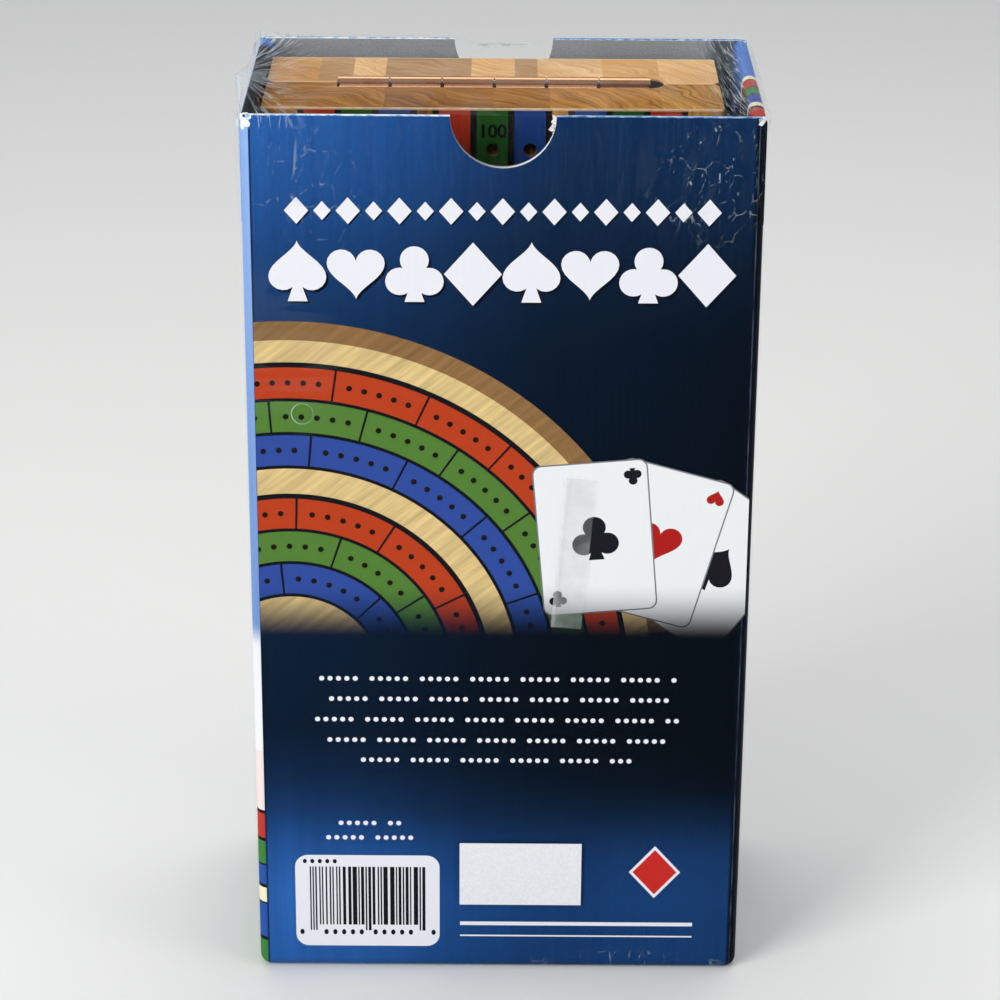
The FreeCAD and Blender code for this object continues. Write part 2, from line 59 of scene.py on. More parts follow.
SIGNS = {"+": "Math ADD", "-": "Math SUBTRACT", "*": "Math MULTIPLY", "<": "Math LESS_THAN",
         ">": "Math GREATER_THAN"}
MODES = {"Math": "operation", "VectorMath": "operation", "Mix": "data_type", "ValToRGB": "interpolation",
         "MapRange": "interpolation_type", "Mapping": "vector_type"}


def add(tree, kind, *values, stops=(), **named):
    """Adds a shader node: its kind, and its mode after a blank, or its sign. Values go to its inputs in
    order, and any that are left over to a further node of the same kind. A capital name is an input's,
    and a small one a setting's. A value is a number, a vector, a hex colour, a socket or a node."""
    shader, *mode = SIGNS.get(kind, kind).split()
    node = tree.nodes.new("ShaderNode" + shader)
    if mode:
        setattr(getattr(node, "color_ramp", node), MODES[shader], mode[0])
    for name, value in named.items():
        if name[0].islower():
            setattr(node, name, value)
    inputs = [socket for socket in node.inputs if socket.enabled]
    pairs = list(zip(inputs, values))
    pairs += [(node.inputs[name.replace("_", " ")], named[name]) for name in named if name[0].isupper()]
    for socket, value in pairs:
        if isinstance(value, bpy.types.Node):
            value = next(output for output in value.outputs if output.enabled)
        if isinstance(value, bpy.types.NodeSocket):
            tree.links.new(value, socket)
        else:
            socket.default_value = linear(value) if isinstance(value, str) else value
    if stops:
        marks = node.color_ramp.elements
        while len(marks) < len(stops):
            marks.new(1.0)
        for mark, (place, colour) in zip(marks, stops):
            mark.position = place
            mark.color = linear(colour) if isinstance(colour, str) else (colour, colour, colour, 1.0)
    if len(values) > len(inputs):
        return add(tree, kind, node, *values[len(inputs):], **named)
    return node


def new_material(name):
    material = bpy.data.materials.new(name)
    material.use_nodes = True
    material.node_tree.nodes.clear()
    return material, material.node_tree


def new_piece(name, bm, *materials):
    """Turns a bmesh into an object at the origin."""
    mesh = bpy.data.meshes.new(name)
    bm.to_mesh(mesh)
    bm.free()
    piece = bpy.data.objects.new(name, mesh)
    bpy.context.scene.collection.objects.link(piece)
    for material in materials:
        mesh.materials.append(material)
    return piece


def paint(node_name, material):
    """Gives a CAD node its finish."""
    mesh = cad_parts[node_name].data
    mesh.materials.clear()
    mesh.materials.append(material)


paper, tree = new_material("table_paper")       # matt, so that the lamps leave no glare on it
gloss = add(tree, "BsdfPrincipled", Base_Color="#f2f2ef", Roughness=0.9)
add(tree, "OutputMaterial", gloss)

bm = bmesh.new()
bmesh.ops.create_circle(bm, cap_ends=True, radius=9.0, segments=72)
rim = bm.edges[:]
risen = bmesh.ops.extrude_edge_only(bm, edges=rim)["geom"]
bmesh.ops.translate(bm, verts=[v for v in risen if isinstance(v, bmesh.types.BMVert)], vec=(0, 0, 4.0))
bmesh.ops.bevel(bm, geom=rim, offset=2.0, segments=16, profile=0.5, affect="EDGES", material=-1)
bmesh.ops.recalc_face_normals(bm, faces=bm.faces)
for face in bm.faces:
    face.smooth = len(face.verts) == 4
table = new_piece("table", bm, paper)

world = bpy.data.worlds.new("studio")
bpy.context.scene.world = world
world.use_nodes = True
world.node_tree.nodes.clear()
sky = add(world.node_tree, "Background", Color="#f4f6fa", Strength=0.46)
add(world.node_tree, "OutputWorld", sky)

LAMPS = (       # name, place, point it faces, width and height, watts
    ("left_softbox", (-0.75, -0.75, 0.55), (0.0, 0.0, 0.11), (0.55, 0.75), 8.8),
    ("top_softbox", (0.05, 0.25, 1.05), (0.0, 0.0, 0.15), (0.8, 0.6), 3.6),
    ("right_card", (0.95, -0.5, 0.45), (0.0, 0.0, 0.1), (0.5, 0.7), 2.5),
)
for name, place, target, spread, watts in LAMPS:
    data = bpy.data.lights.new(name, "AREA")
    data.shape = "RECTANGLE"
    data.size, data.size_y = spread
    data.energy = watts
    lamp = bpy.data.objects.new(name, data)
    bpy.context.scene.collection.objects.link(lamp)
    lamp.location = place
    lamp.rotation_euler = (Vector(target) - Vector(place)).to_track_quat("-Z", "Y").to_euler()


def turned(degrees, axis):
    return Matrix.Rotation(math.radians(degrees), 4, axis)


CAMERA_PLACE = (-0.00016, -0.6402, 0.3659)
CAMERA_DOWN, CAMERA_ROLL = 22.744, 0.363        # degrees
eye = bpy.data.cameras.new("camera")
eye.lens = 116.85
eye.sensor_width = 36.0
camera = bpy.data.objects.new("camera", eye)
bpy.context.scene.collection.objects.link(camera)
camera.matrix_world = (Matrix.Translation(CAMERA_PLACE) @ turned(90 - CAMERA_DOWN, "X")
                       @ turned(CAMERA_ROLL, "Z"))
bpy.context.scene.camera = camera
bpy.context.scene.view_settings.view_transform = "Standard"


# ---------------------------------------------------------------- carton
# Micro-flute corrugated board: a white-lined liner printed offset in blue and varnished, folded
# into a sleeve with hemmed sides. The cut rims show the raw white ply, and the flutes print
# through as faint upright lines.

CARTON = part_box("carton_wrap")
HALF_WIDTH, HALF_DEPTH, HEIGHT = (part / MM for part in CARTON[1])
PLY = 1.5
CREASE = 2.5                    # radius of the upright creases
FLUTE_PITCH = 1.6               # real micro-flutes are 1.2 mm apart: drawn coarser so that they show
HEM_INSIDE = HALF_WIDTH - 2 * PLY
HEM_DROP = 22.0                 # how far the hems reach down inside
NOTCH_RADIUS = 10.4
INK_DEPTH = 0.12                # how far the ink goes round a cut edge
SIDE_TURN = (-34.0, 172.0)      # middle of the right panel's track turn: y and z
SIDE_BLACK, SIDE_RED, SIDE_GREEN, SIDE_BLUE = "#15151b", "#b3372b", "#3c7a3a", "#2a4f9c"
SIDE_CREAM = "#e8dfbd"
SIDE_RINGS = (                  # the radius at which each ink starts
    (0.0, "#cdb27c"), (18.9, SIDE_BLACK), (19.5, SIDE_RED), (22.2, SIDE_BLACK), (22.8, SIDE_CREAM),
    (24.3, "#3a4a9a"), (28.2, SIDE_BLACK), (28.8, SIDE_GREEN), (32.5, SIDE_BLACK), (33.1, SIDE_RED),
    (37.2, SIDE_BLACK), (37.8, SIDE_CREAM), (40.0, "#3c66b4"))
SIDE_BANDS = (                  # the height at which each ink starts
    (0.0, SIDE_GREEN), (6.6, SIDE_BLACK), (7.2, SIDE_BLUE), (15.4, SIDE_BLACK), (16.0, SIDE_CREAM),
    (19.4, SIDE_BLACK), (20.0, SIDE_BLUE), (24.7, SIDE_BLACK), (25.3, SIDE_GREEN), (30.7, SIDE_BLACK),
    (31.3, SIDE_RED), (37.4, SIDE_BLACK), (38.0, "#e4d4d0"), (52.0, "#e2e4e8"))


def object_mm(tree):
    """Object coordinates in millimetres: the vector, and its three parts. A pattern's Scale is then in
    lumps per millimetre, and the comments beside the patterns say how wide their lumps are."""
    place = add(tree, "TexCoord").outputs["Object"]
    scaled = add(tree, "VectorMath SCALE", place, 1 / MM)
    parts = add(tree, "SeparateXYZ", scaled).outputs
    return scaled, parts["X"], parts["Y"], parts["Z"]


def inside(tree, value, limit):
    """1 where a value lies within the limit of zero."""
    return add(tree, "<", add(tree, "Math ABSOLUTE", value), limit)


def steps(tree, distance, rows):
    """Inks that start at the given distances, in millimetres."""
    share = add(tree, "*", distance, 0.01)
    return add(tree, "ValToRGB CONSTANT", share, stops=[(place / 100, ink) for place, ink in rows])


def front_blue_with_painted_sheen(tree, x, z):
    """The panels' printed blue, navy across the middle, painted brighter at the upper left and the foot
    as a sheen of the film and varnish.
    """
    across = add(tree, "MapRange SMOOTHSTEP", x, -HALF_WIDTH, 0.35 * HALF_WIDTH, 1.0, 0.29)
    fade_x = add(tree, "MapRange", x, 0.3 * HALF_WIDTH, HALF_WIDTH)
    fade_z = add(tree, "MapRange", z, HEIGHT - 18.0, HEIGHT - 42.0, 0.0, 0.45)
    fade = add(tree, "*", fade_x, fade_z)
    across = add(tree, "*", across, add(tree, "-", 1.0, fade))
    share = add(tree, "*", z, 1 / HEIGHT)
    upright = add(tree, "ValToRGB", share, stops=(
        (0.0, 0.85), (0.09, 1.0), (0.15, 0.72), (0.20, 0.36), (0.25, 0.19), (0.30, 0.11), (0.42, 0.125),
        (0.60, 0.20), (0.75, 0.28), (0.85, 0.46), (0.93, 0.72), (1.0, 0.90)))
    # The foot is painted brighter, as a highlight of the film, more so to the right.
    foot = add(tree, "MapRange SMOOTHSTEP", z, 46.0, 24.0)
    to_right = add(tree, "MapRange", x, -0.2 * HALF_WIDTH, 0.8 * HALF_WIDTH, 0.04, 0.23)
    foot_painted_highlight = add(tree, "*", foot, to_right)
    depth = add(tree, "Math MULTIPLY_ADD", across, upright, foot_painted_highlight)
    return add(tree, "ValToRGB", depth, stops=((0.0, "#01050b"), (0.035, "#020a15"), (0.12, "#071a30"),
                                               (0.25, "#0e294d"), (0.5, "#184178"), (1.0, "#295da6")))


def right_print(tree, y, z):
    """The right panel: rings of a track turn on a blue that deepens downwards, painted lighter at the
    top as a highlight, and navy at the crease as painted shade.
    """
    apart = add(tree, "CombineXYZ", Y=add(tree, "+", y, -SIDE_TURN[0]), Z=add(tree, "-", z, SIDE_TURN[1]))
    ring = add(tree, "VectorMath LENGTH", apart)
    beyond = add(tree, ">", ring, SIDE_RINGS[-1][0])
    # The blue is painted lighter towards the top as a highlight.
    low = add(tree, "MapRange SMOOTHSTEP", z, HEIGHT - 12.0, 60.0)
    blue_with_painted_highlight = add(tree, "Mix RGBA", low, "#4a76c4", "#0d2a55")
    rings = add(tree, "Mix RGBA", beyond, steps(tree, ring, SIDE_RINGS), blue_with_painted_highlight)
    # The front crease of this panel is painted near-black navy as shade.
    below_rim = add(tree, "<", z, HEIGHT - 0.6)
    shaded_crease = add(tree, "<", y, CREASE - HALF_DEPTH)
    return add(tree, "Mix RGBA", add(tree, "*", below_rim, shaded_crease), rings, "#040b18")


def left_print(tree, off_x, y, z, hem):
    """The left panel: track stripes, a white band and a hazy blue over it, and a folded hem that is
    painted dark towards the front as shade.
    """
    up = add(tree, "MapRange SMOOTHSTEP", z, 76.0, 82.0)
    haze = add(tree, "Mix RGBA", add(tree, "MapRange", z, 80.0, HEIGHT), "#6d8fc6", "#85a6da")
    bands = add(tree, "Mix RGBA", up, steps(tree, z, SIDE_BANDS), haze)
    # Inside, the hem is painted near black towards the front as shade, and blue towards the back.
    shaded = add(tree, "MapRange", y, HALF_DEPTH - 9.0, HALF_DEPTH - 4.0)
    hem_print_and_shade = add(tree, "Mix RGBA", shaded, "#05080f", "#4f77c2")
    folded_in = add(tree, "*", hem, add(tree, "<", off_x, HALF_WIDTH - 0.3))
    return add(tree, "Mix RGBA", folded_in, bands, hem_print_and_shade)


def worn_print(tree, vector, x, y, z, off_x, between, hem):
    """The print of all four walls: painted shade in its scores, its rubbed crease, the flutes' streaks."""
    on_right = add(tree, ">", x, 0.0)
    side = add(tree, "Mix RGBA", on_right, left_print(tree, off_x, y, z, hem), right_print(tree, y, z))
    on_side = add(tree, "Math MAXIMUM", add(tree, ">", off_x, HALF_WIDTH - 1.8), hem)
    ink = add(tree, "Mix RGBA", on_side, front_blue_with_painted_sheen(tree, x, z), side)
    # A dark line of painted shade runs down the score beside each upright crease of the panel.
    beside = add(tree, "-", off_x, HALF_WIDTH - 2.0)
    score_shade = add(tree, "-", inside(tree, beside, 0.2), between, use_clamp=True)
    ink = add(tree, "Mix RGBA", add(tree, "*", score_shade, 0.75), ink, "#07111f")
    # Down the right crease the ink is rubbed to a thin paler line.
    rubbed_at = inside(tree, add(tree, "-", x, HALF_WIDTH - 1.45), 0.13)
    drawn_out = add(tree, "Mapping", vector, Scale=(1.0, 1.0, 0.12))
    patchy = add(tree, "TexNoise", drawn_out, Scale=1.0, Detail=5.0, Roughness=0.7)  # 1 mm, 8 mm long
    wear = add(tree, "*", rubbed_at, add(tree, "MapRange", patchy, 0.42, 0.64, 0.05, 0.6))
    ink = add(tree, "Mix RGBA", wear, ink, "#64748f")
    # Faint upright streaks follow the flutes.
    upright = add(tree, "Mapping", vector, Scale=(0.45, 0.45, 0.012))
    streaks = add(tree, "TexNoise", upright, Scale=1.0, Detail=3.0, Roughness=0.6)  # 2.2 mm, 80 mm long
    tone = add(tree, "MapRange", streaks, 0.3, 0.7, 0.93, 1.10)
    return add(tree, "Mix RGBA", 1.0, ink, tone, blend_type="MULTIPLY")


def cut_edge(tree, vector, x, z, skin):
    """The cut rims: the ink comes a little way over them and is rubbed off in specks."""
    rub = add(tree, "TexNoise", vector, Scale=0.55, Detail=5.0, Roughness=0.7)  # 1.8 mm
    near_outside = add(tree, "MapRange", skin, -PLY, 0.0, -0.12, 0.10)
    # Towards the right the top rim shows more of the blue, so it is darker there.
    bluer_to_right = add(tree, "MapRange", x, -NOTCH_RADIUS, NOTCH_RADIUS, -0.02, 0.12)
    rubbed = add(tree, "-", add(tree, "-", rub, near_outside), bluer_to_right)
    cut = add(tree, "ValToRGB", rubbed,
              stops=((0.28, "#3d6199"), (0.38, "#6f9bd0"), (0.50, "#b0cfea"), (0.58, "#f2f5f6")))
    # The notch's cut rim is painted darker at its left and white at its right, as painted shade and light.
    notch_rim_painted_light = add(tree, "ValToRGB", add(tree, "MapRange", x, -NOTCH_RADIUS, NOTCH_RADIUS),
                  stops=((0.05, "#6d85a6"), (0.35, "#aaa29c"), (0.62, "#d9d6d2"), (0.9, "#f2f5f8")))
    plies = add(tree, "MapRange", add(tree, "+", skin, PLY / 2), -0.3, 0.3, 0.72, 1.0)
    notch_rim_painted_light = add(tree, "Mix RGBA", 1.0, notch_rim_painted_light, plies, blend_type="MULTIPLY")
    at_rim = add(tree, ">", z, HEIGHT - 0.02)
    return add(tree, "Mix RGBA", at_rim, notch_rim_painted_light, cut)


def flute_bump(tree, x, y, vector):
    """Upright flutes under the liner, as a height."""
    phase = add(tree, "*", add(tree, "+", x, y), 2 * math.pi / FLUTE_PITCH)
    dents = add(tree, "TexNoise", vector, Scale=0.035, Detail=2.0)  # 29 mm
    return add(tree, "Math MULTIPLY_ADD", add(tree, "Math SINE", phase), 0.12, dents)


# Printed and varnished outside, which gives it a soft sheen; grey-white liner inside; raw fibre, dull
# and pale, on every cut.
printed_board, tree = new_material("printed_micro_flute_board")
vector, x, y, z = object_mm(tree)
off_x = add(tree, "Math ABSOLUTE", x)
off_y = add(tree, "Math ABSOLUTE", y)

# How far a point lies from the carton's outer skin, round the upright creases: below 0 inside it.
over_x = add(tree, "-", off_x, HALF_WIDTH - CREASE)
over_y = add(tree, "-", off_y, HALF_DEPTH - CREASE)
corner = add(tree, "CombineXYZ", add(tree, "Math MAXIMUM", over_x, 0.0),
             add(tree, "Math MAXIMUM", over_y, 0.0))
inward = add(tree, "Math MINIMUM", add(tree, "Math MAXIMUM", over_x, over_y), 0.0)
reach = add(tree, "+", add(tree, "VectorMath LENGTH", corner), inward)
skin = add(tree, "-", reach, CREASE)
raw = add(tree, ">", skin, INK_DEPTH - PLY)

# The hems carry the side panels' print over the top and down inside.
wide = add(tree, ">", off_x, HEM_INSIDE - 0.05)
upper = add(tree, ">", z, HEIGHT - HEM_DROP)
between = add(tree, "<", off_y, HALF_DEPTH - PLY - 0.02)
hem = add(tree, "*", wide, upper, between)
outside = add(tree, ">", skin, -INK_DEPTH)
printed = add(tree, "Math MAXIMUM", outside, add(tree, "<", z, CREASE), hem)

fibre = add(tree, "TexNoise", vector, Scale=3.0, Detail=4.0)  # 0.3 mm
liner = add(tree, "ValToRGB", fibre, stops=((0.3, "#8b8f92"), (0.7, "#a3a7a9")))
# The liner is painted darker towards the right inside corner, as shade.
painted_shade_in_corner = add(tree, "MapRange", x, 42.5, 44.5, 1.0, 0.35)
liner = add(tree, "Mix RGBA", 1.0, liner, painted_shade_in_corner, blend_type="MULTIPLY")
unprinted = add(tree, "Mix RGBA", raw, liner, cut_edge(tree, vector, x, z, skin))

# The front top corners are knocked: the ink is off and the white fibre shows.
knock = add(tree, "TexNoise", vector, Scale=0.9, Detail=4.0)  # 1.1 mm
all_bare = 0.0
for corner_x, size in ((-HALF_WIDTH - 0.4, 3.0), (HALF_WIDTH - 0.5, 1.5)):
    apart = add(tree, "VectorMath DISTANCE", vector, (corner_x, -HALF_DEPTH, HEIGHT - 0.2))
    frayed = add(tree, "Math MULTIPLY_ADD", knock, -2.4, apart)
    bare = add(tree, "<", frayed, size - 1.3)
    printed = add(tree, "-", printed, bare, use_clamp=True)
    all_bare = add(tree, "Math MAXIMUM", all_bare, bare)
torn = add(tree, "ValToRGB", knock, stops=((0.40, "#8fb2dd"), (0.47, "#eef3f7")))
unprinted = add(tree, "Mix RGBA", all_bare, unprinted, torn)
# Beside the left corner a dark spot is painted as the shade in a pit.
apart = add(tree, "VectorMath DISTANCE", vector, (0.9 - HALF_WIDTH, 0.3 - HALF_DEPTH, HEIGHT - 0.2))
unprinted = add(tree, "Mix RGBA", add(tree, "MapRange", apart, 0.35, 0.5, 1.0, 0.0), unprinted, "#2e2c2a")

inked = worn_print(tree, vector, x, y, z, off_x, between, hem)
colour = add(tree, "Mix RGBA", printed, unprinted, inked)
rough = add(tree, "MapRange", printed, To_Min=0.85, To_Max=0.30)
bump = add(tree, "Bump", Height=flute_bump(tree, x, y, vector), Strength=0.10, Distance=0.0004)
surface = add(tree, "BsdfPrincipled", Base_Color=colour, Roughness=rough, Normal=bump, IOR=1.5,
              Specular_IOR_Level=0.025)
add(tree, "OutputMaterial", surface)
for name in ("carton_wrap", "bottom_closing_flap"):
    paint(name, printed_board)

# The dust flaps show the board's unprinted side, dull and warm white.
plain_board, tree = new_material("plain_white_lined_board")
vector, x, y, z = object_mm(tree)
fibre = add(tree, "TexNoise", vector, Scale=3.0, Detail=4.0)  # 0.3 mm
tone = add(tree, "ValToRGB", fibre, stops=((0.3, "#bdbcb7"), (0.7, "#d2d1cc")))
bump = add(tree, "Bump", Height=flute_bump(tree, x, y, vector), Strength=0.25, Distance=0.0004)
surface = add(tree, "BsdfPrincipled", Base_Color=tone, Roughness=0.85, Normal=bump)
add(tree, "OutputMaterial", surface)
paint("bottom_dust_flaps", plain_board)


# ---------------------------------------------------------------- torn liner
# Where the thumb notch was punched, shreds of the liner stay on its right end: thin white fibre
# with a pinkish torn face, curled inwards.

torn_fibre, tree = new_material("torn_liner_fibre")     # dull white, blotched pink where it tore
vector, x, y, z = object_mm(tree)
fibre = add(tree, "TexNoise", vector, Scale=2.5, Detail=5.0, Roughness=0.7)  # 0.4 mm
tone = add(tree, "ValToRGB", fibre, stops=((0.35, "#c9aaa1"), (0.46, "#ece2de"), (0.6, "#ffffff")))
add(tree, "OutputMaterial", add(tree, "BsdfPrincipled", Base_Color=tone, Roughness=0.9))

SHRED_PLY = 0.12
SHREDS = (          # depth below the rim, length, width, curl and turn in degrees
    (0.3, 1.7, 1.3, 0.5, 62),
    (1.5, 2.3, 0.8, 1.3, 58),
    (2.9, 0.8, 0.5, 0.4, 30),
)
bm = bmesh.new()
for drop, length, width, curl, turn in SHREDS:
    flake = bmesh.ops.create_grid(bm, x_segments=6, y_segments=4, size=0.5)["verts"]
    for vert in flake:
        along, aside = vert.co.x + 0.5, vert.co.y
        ragged = 0.45 * noise.noise(Vector((5 * along, 7 * aside, drop)))
        vert.co = Vector((-length * along, width * (aside + ragged) * (1.15 - 0.8 * along),
                          curl * along ** 2 + 0.2 * ragged))
    fold = (Matrix.Translation((NOTCH_RADIUS - 0.06 * drop ** 2, -HALF_DEPTH + PLY, HEIGHT - drop))
            @ turned(90, "X") @ turned(turn, "Z") @ turned(180, "X"))
    bmesh.ops.transform(bm, matrix=Matrix.Scale(MM, 4) @ fold, verts=flake)
bmesh.ops.solidify(bm, geom=bm.faces[:], thickness=SHRED_PLY * MM)
bmesh.ops.recalc_face_normals(bm, faces=bm.faces)
shreds = new_piece("torn_liner_shreds", bm, torn_fibre)
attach(shreds, "carton")


# ---------------------------------------------------------------- print
# Offset inks on the front panel: a track turn and three cards that fade into the blue, a border of
# the four suits, rows of dots, and a white patch with plain bars. The back has the same picture, and
# the sides have the holes of their track. An ink layer is so thin that each shape is a flat face.

PICTURE = (79.1, 148.7)         # lower and upper edge
PICTURE_FADE = 13.0
PRINT_LIFT = 0.02
INK_PLY = 0.006                 # from one ink to the next over it
HOLE_STEP = 3.1                 # between the printed holes of a track
HOLE_RADIUS = 0.62
HOLE_INK, BLACK_INK, WHITE_INK, SHADOW_INK = "#1c1710", "#14141a", "#e4e4eb", "#050c18"
LANE_INKS = ("#2f4a96", "#517a34", "#b23e1e")           # from the inside of a turn
WOODEN = ("#d8bd84", "#8d6a43")
ink_mesh = bmesh.new()
ink_layer = ink_mesh.loops.layers.float_color.new("ink")


def set_ink(faces, code):
    """The fourth part says whether the ink is a picture of wood, which shows a grain."""
    for face in faces:
        for loop in face.loops:
            loop[ink_layer] = linear(code)[:3] + (1.0 if code in WOODEN else 0.0,)


def lay(verts, code, layer, x=0.0, z=0.0, turn=0.0):
    """Turns a shape drawn in millimetres on the x-y plane to the front panel, and colours it."""
    place = (Matrix.Translation((x * MM, (-HALF_DEPTH - PRINT_LIFT - INK_PLY * layer) * MM, z * MM))
             @ turned(90, "X") @ turned(turn, "Z") @ Matrix.Scale(MM, 4))
    faces = {face for vert in verts for face in vert.link_faces}
    bmesh.ops.transform(ink_mesh, matrix=place, verts=verts)
    set_ink(faces, code)


def disc(radius, code, layer, x, z, corners=20, turn=0.0, stretch=1.0, shift=(0.0, 0.0)):
    verts = bmesh.ops.create_circle(ink_mesh, cap_ends=True, radius=radius, segments=corners)["verts"]
    bmesh.ops.scale(ink_mesh, vec=(1.0, stretch, 1.0), verts=verts)
    bmesh.ops.translate(ink_mesh, vec=(shift[0], shift[1], 0.0), verts=verts)
    lay(verts, code, layer, x, z, turn)


def slab(width, height, code, layer, x, z, turn=0.0, corner=0.0):
    """A rectangle, with round corners if asked."""
    before = set(ink_mesh.verts)
    verts = bmesh.ops.create_grid(ink_mesh, x_segments=1, y_segments=1, size=0.5)["verts"]
    bmesh.ops.scale(ink_mesh, vec=(width, height, 1.0), verts=verts)
    if corner:
        bmesh.ops.bevel(ink_mesh, geom=verts, offset=corner, segments=6, profile=0.5,
                        affect="VERTICES", material=-1)
        verts = [vert for vert in ink_mesh.verts if vert not in before]
    lay(verts, code, layer, x, z, turn)


def sweep(inner, outer, code, layer, x, z, first, last):
    """Part of a ring, from one angle to another."""
    steps = max(2, int(abs(last - first) / 2.5))
    a = ink_mesh.verts.new((inner, 0, 0))
    b = ink_mesh.verts.new((outer, 0, 0))
    edge = ink_mesh.edges.new((a, b))
    bmesh.ops.rotate(ink_mesh, verts=[a, b], cent=(0, 0, 0),
                     matrix=Matrix.Rotation(math.radians(first), 3, "Z"))
    before = set(ink_mesh.faces)
    bmesh.ops.spin(ink_mesh, geom=[a, b, edge], cent=(0, 0, 0), axis=(0, 0, 1), dvec=(0, 0, 0),
                   angle=math.radians(last - first), steps=steps, use_merge=False)
    verts = list({vert for face in set(ink_mesh.faces) - before for vert in face.verts})
    lay(verts, code, layer, x, z)


def pip(kind, height, code, layer, x, z, turn=0.0):
    """One of the four suits: a diamond, three discs, or a heart that is turned over for a spade."""
    if kind == "diamond":
        disc(0.5 * height, code, layer, x, z, corners=4, turn=turn, stretch=1.15)
        return
    if kind == "club":
        lobe = 0.25 * height
        for step, shift in enumerate(((0.0, 1.0), (-1.02, -0.55), (1.02, -0.55))):
            disc(lobe, code, layer + 0.3 * step, x, z, turn=turn, shift=(lobe * shift[0], lobe * shift[1]))
        disc(0.6 * lobe, code, layer + 1.2, x, z, turn=turn, shift=(0.0, -0.1 * lobe))
    else:
        heart = bmesh.ops.create_circle(ink_mesh, cap_ends=True, radius=1.0, segments=40)["verts"]
        upside = -1.0 if kind == "spade" else 1.0
        for vert in heart:
            t = math.atan2(vert.co.x, vert.co.y)
            across = 16 * math.sin(t) ** 3
            up = 13 * math.cos(t) - 5 * math.cos(2 * t) - 2 * math.cos(3 * t) - math.cos(4 * t)
            vert.co = Vector((upside * across, upside * up + 2.0, 0.0)) * (height / 32)
        lay(heart, code, layer, x, z, turn)
    if kind in ("club", "spade"):
        disc(0.2 * height, code, layer + 0.9, x, z, corners=3, turn=turn, stretch=1.7,
             shift=(0.0, -0.34 * height))


# The track turn: rings about a point near the picture's lower left corner. After each five holes a
# black line crosses the lane.
TURN = (-43.0, 70.0)
PRINTED_LANE = 6.6
RULE = 0.7                      # black line between two lanes
TURN_ARC = 125.0
sweep(74.5, 78.5, WOODEN[1], 0, *TURN, 8, 130)
sweep(4.0, 74.5, WOODEN[0], 1, *TURN, 2, 150)
for street in (19.0, 47.5):
    sweep(street - RULE, street + 3 * PRINTED_LANE + 2.5, BLACK_INK, 2, *TURN, 2, 130)
    for lane, ink in enumerate(LANE_INKS):
        inner = street + (PRINTED_LANE + RULE) * lane
        middle = inner + PRINTED_LANE / 2
        sweep(inner, inner + PRINTED_LANE, ink, 3, *TURN, 2, 130)
        holes = int(math.radians(TURN_ARC) * middle / HOLE_STEP)
        for hole in range(holes):
            angle = 3.0 + TURN_ARC * hole / holes
            half_line = 13 / middle
            if hole % 6 == 5:
                sweep(inner - 0.3, inner + PRINTED_LANE + 0.3, BLACK_INK, 4, *TURN,
                      angle - half_line, angle + half_line)
            else:
                disc(HOLE_RADIUS, HOLE_INK, 5, TURN[0] + middle * math.cos(math.radians(angle)),
                     TURN[1] + middle * math.sin(math.radians(angle)), corners=10)

# Three plain cards, fanned about a point below them.
FAN = (22.5, 66.0)
FAN_REACH = 36.0
CARD = (23.0, 33.0)
CARDS = ((-36.0, "spade", "#1a1a20"), (-15.5, "heart", "#a81f1c"), (5.0, "club", "#1a1a20"))
for number, (turn, kind, ink) in enumerate(CARDS):
    layer = 6 + 3 * number
    along = math.radians(90 + turn)
    x, z = FAN[0] + FAN_REACH * math.cos(along), FAN[1] + FAN_REACH * math.sin(along)
    slab(CARD[0] + 0.6, CARD[1] + 0.6, "#76797f", layer, x, z, turn, corner=1.9)
    slab(*CARD, "#e6e8ea", layer + 1, x, z, turn, corner=1.7)
    pip(kind, 9.5, ink, layer + 2, x, z, turn)
    for sign in (-1, 1):
        spot = Matrix.Rotation(math.radians(turn), 2) @ Vector((sign * 8.6, sign * 13.0))
        pip(kind, 3.6, ink, layer + 2, x + spot.x, z + spot.y, turn + (0 if sign < 0 else 180))

# Nothing of the picture reaches past the panel's creases or its lower edge.
for point, normal in (((-HALF_WIDTH + 1.9, 0, 0), (-1, 0, 0)), ((HALF_WIDTH - 0.9, 0, 0), (1, 0, 0)),
                      ((0, 0, PICTURE[0]), (0, 0, -1)), ((0, 0, PICTURE[1]), (0, 0, 1))):
    bmesh.ops.bisect_plane(ink_mesh, geom=ink_mesh.verts[:] + ink_mesh.edges[:] + ink_mesh.faces[:],
                           dist=1e-7, plane_co=Vector(point) * MM, plane_no=normal, clear_outer=True)

# A border of suits with a row of small diamonds over it.
SUITS = ("spade", "heart", "club", "diamond")
BORDER_LEFT = -40.6
for layer, ink, shift in ((0, SHADOW_INK, 0.45), (2, WHITE_INK, 0.0)):
    for place in range(8):
        pip(SUITS[place % 4], 11.5, ink, layer, BORDER_LEFT + 11.6 * place + shift, 158.6 - shift)
    shift *= 0.6
    for place in range(17):
        pip("diamond", 3.4 if place % 2 else 4.8, ink, layer, BORDER_LEFT + 5.08 * place + shift,
            171.6 - shift)

# The back panel has the same picture and border.
whole = ink_mesh.verts[:] + ink_mesh.edges[:] + ink_mesh.faces[:]
behind = [v for v in bmesh.ops.duplicate(ink_mesh, geom=whole)["geom"] if isinstance(v, bmesh.types.BMVert)]
bmesh.ops.rotate(ink_mesh, verts=behind, cent=(0, 0, 0), matrix=Matrix.Rotation(math.radians(180), 3, "Z"))

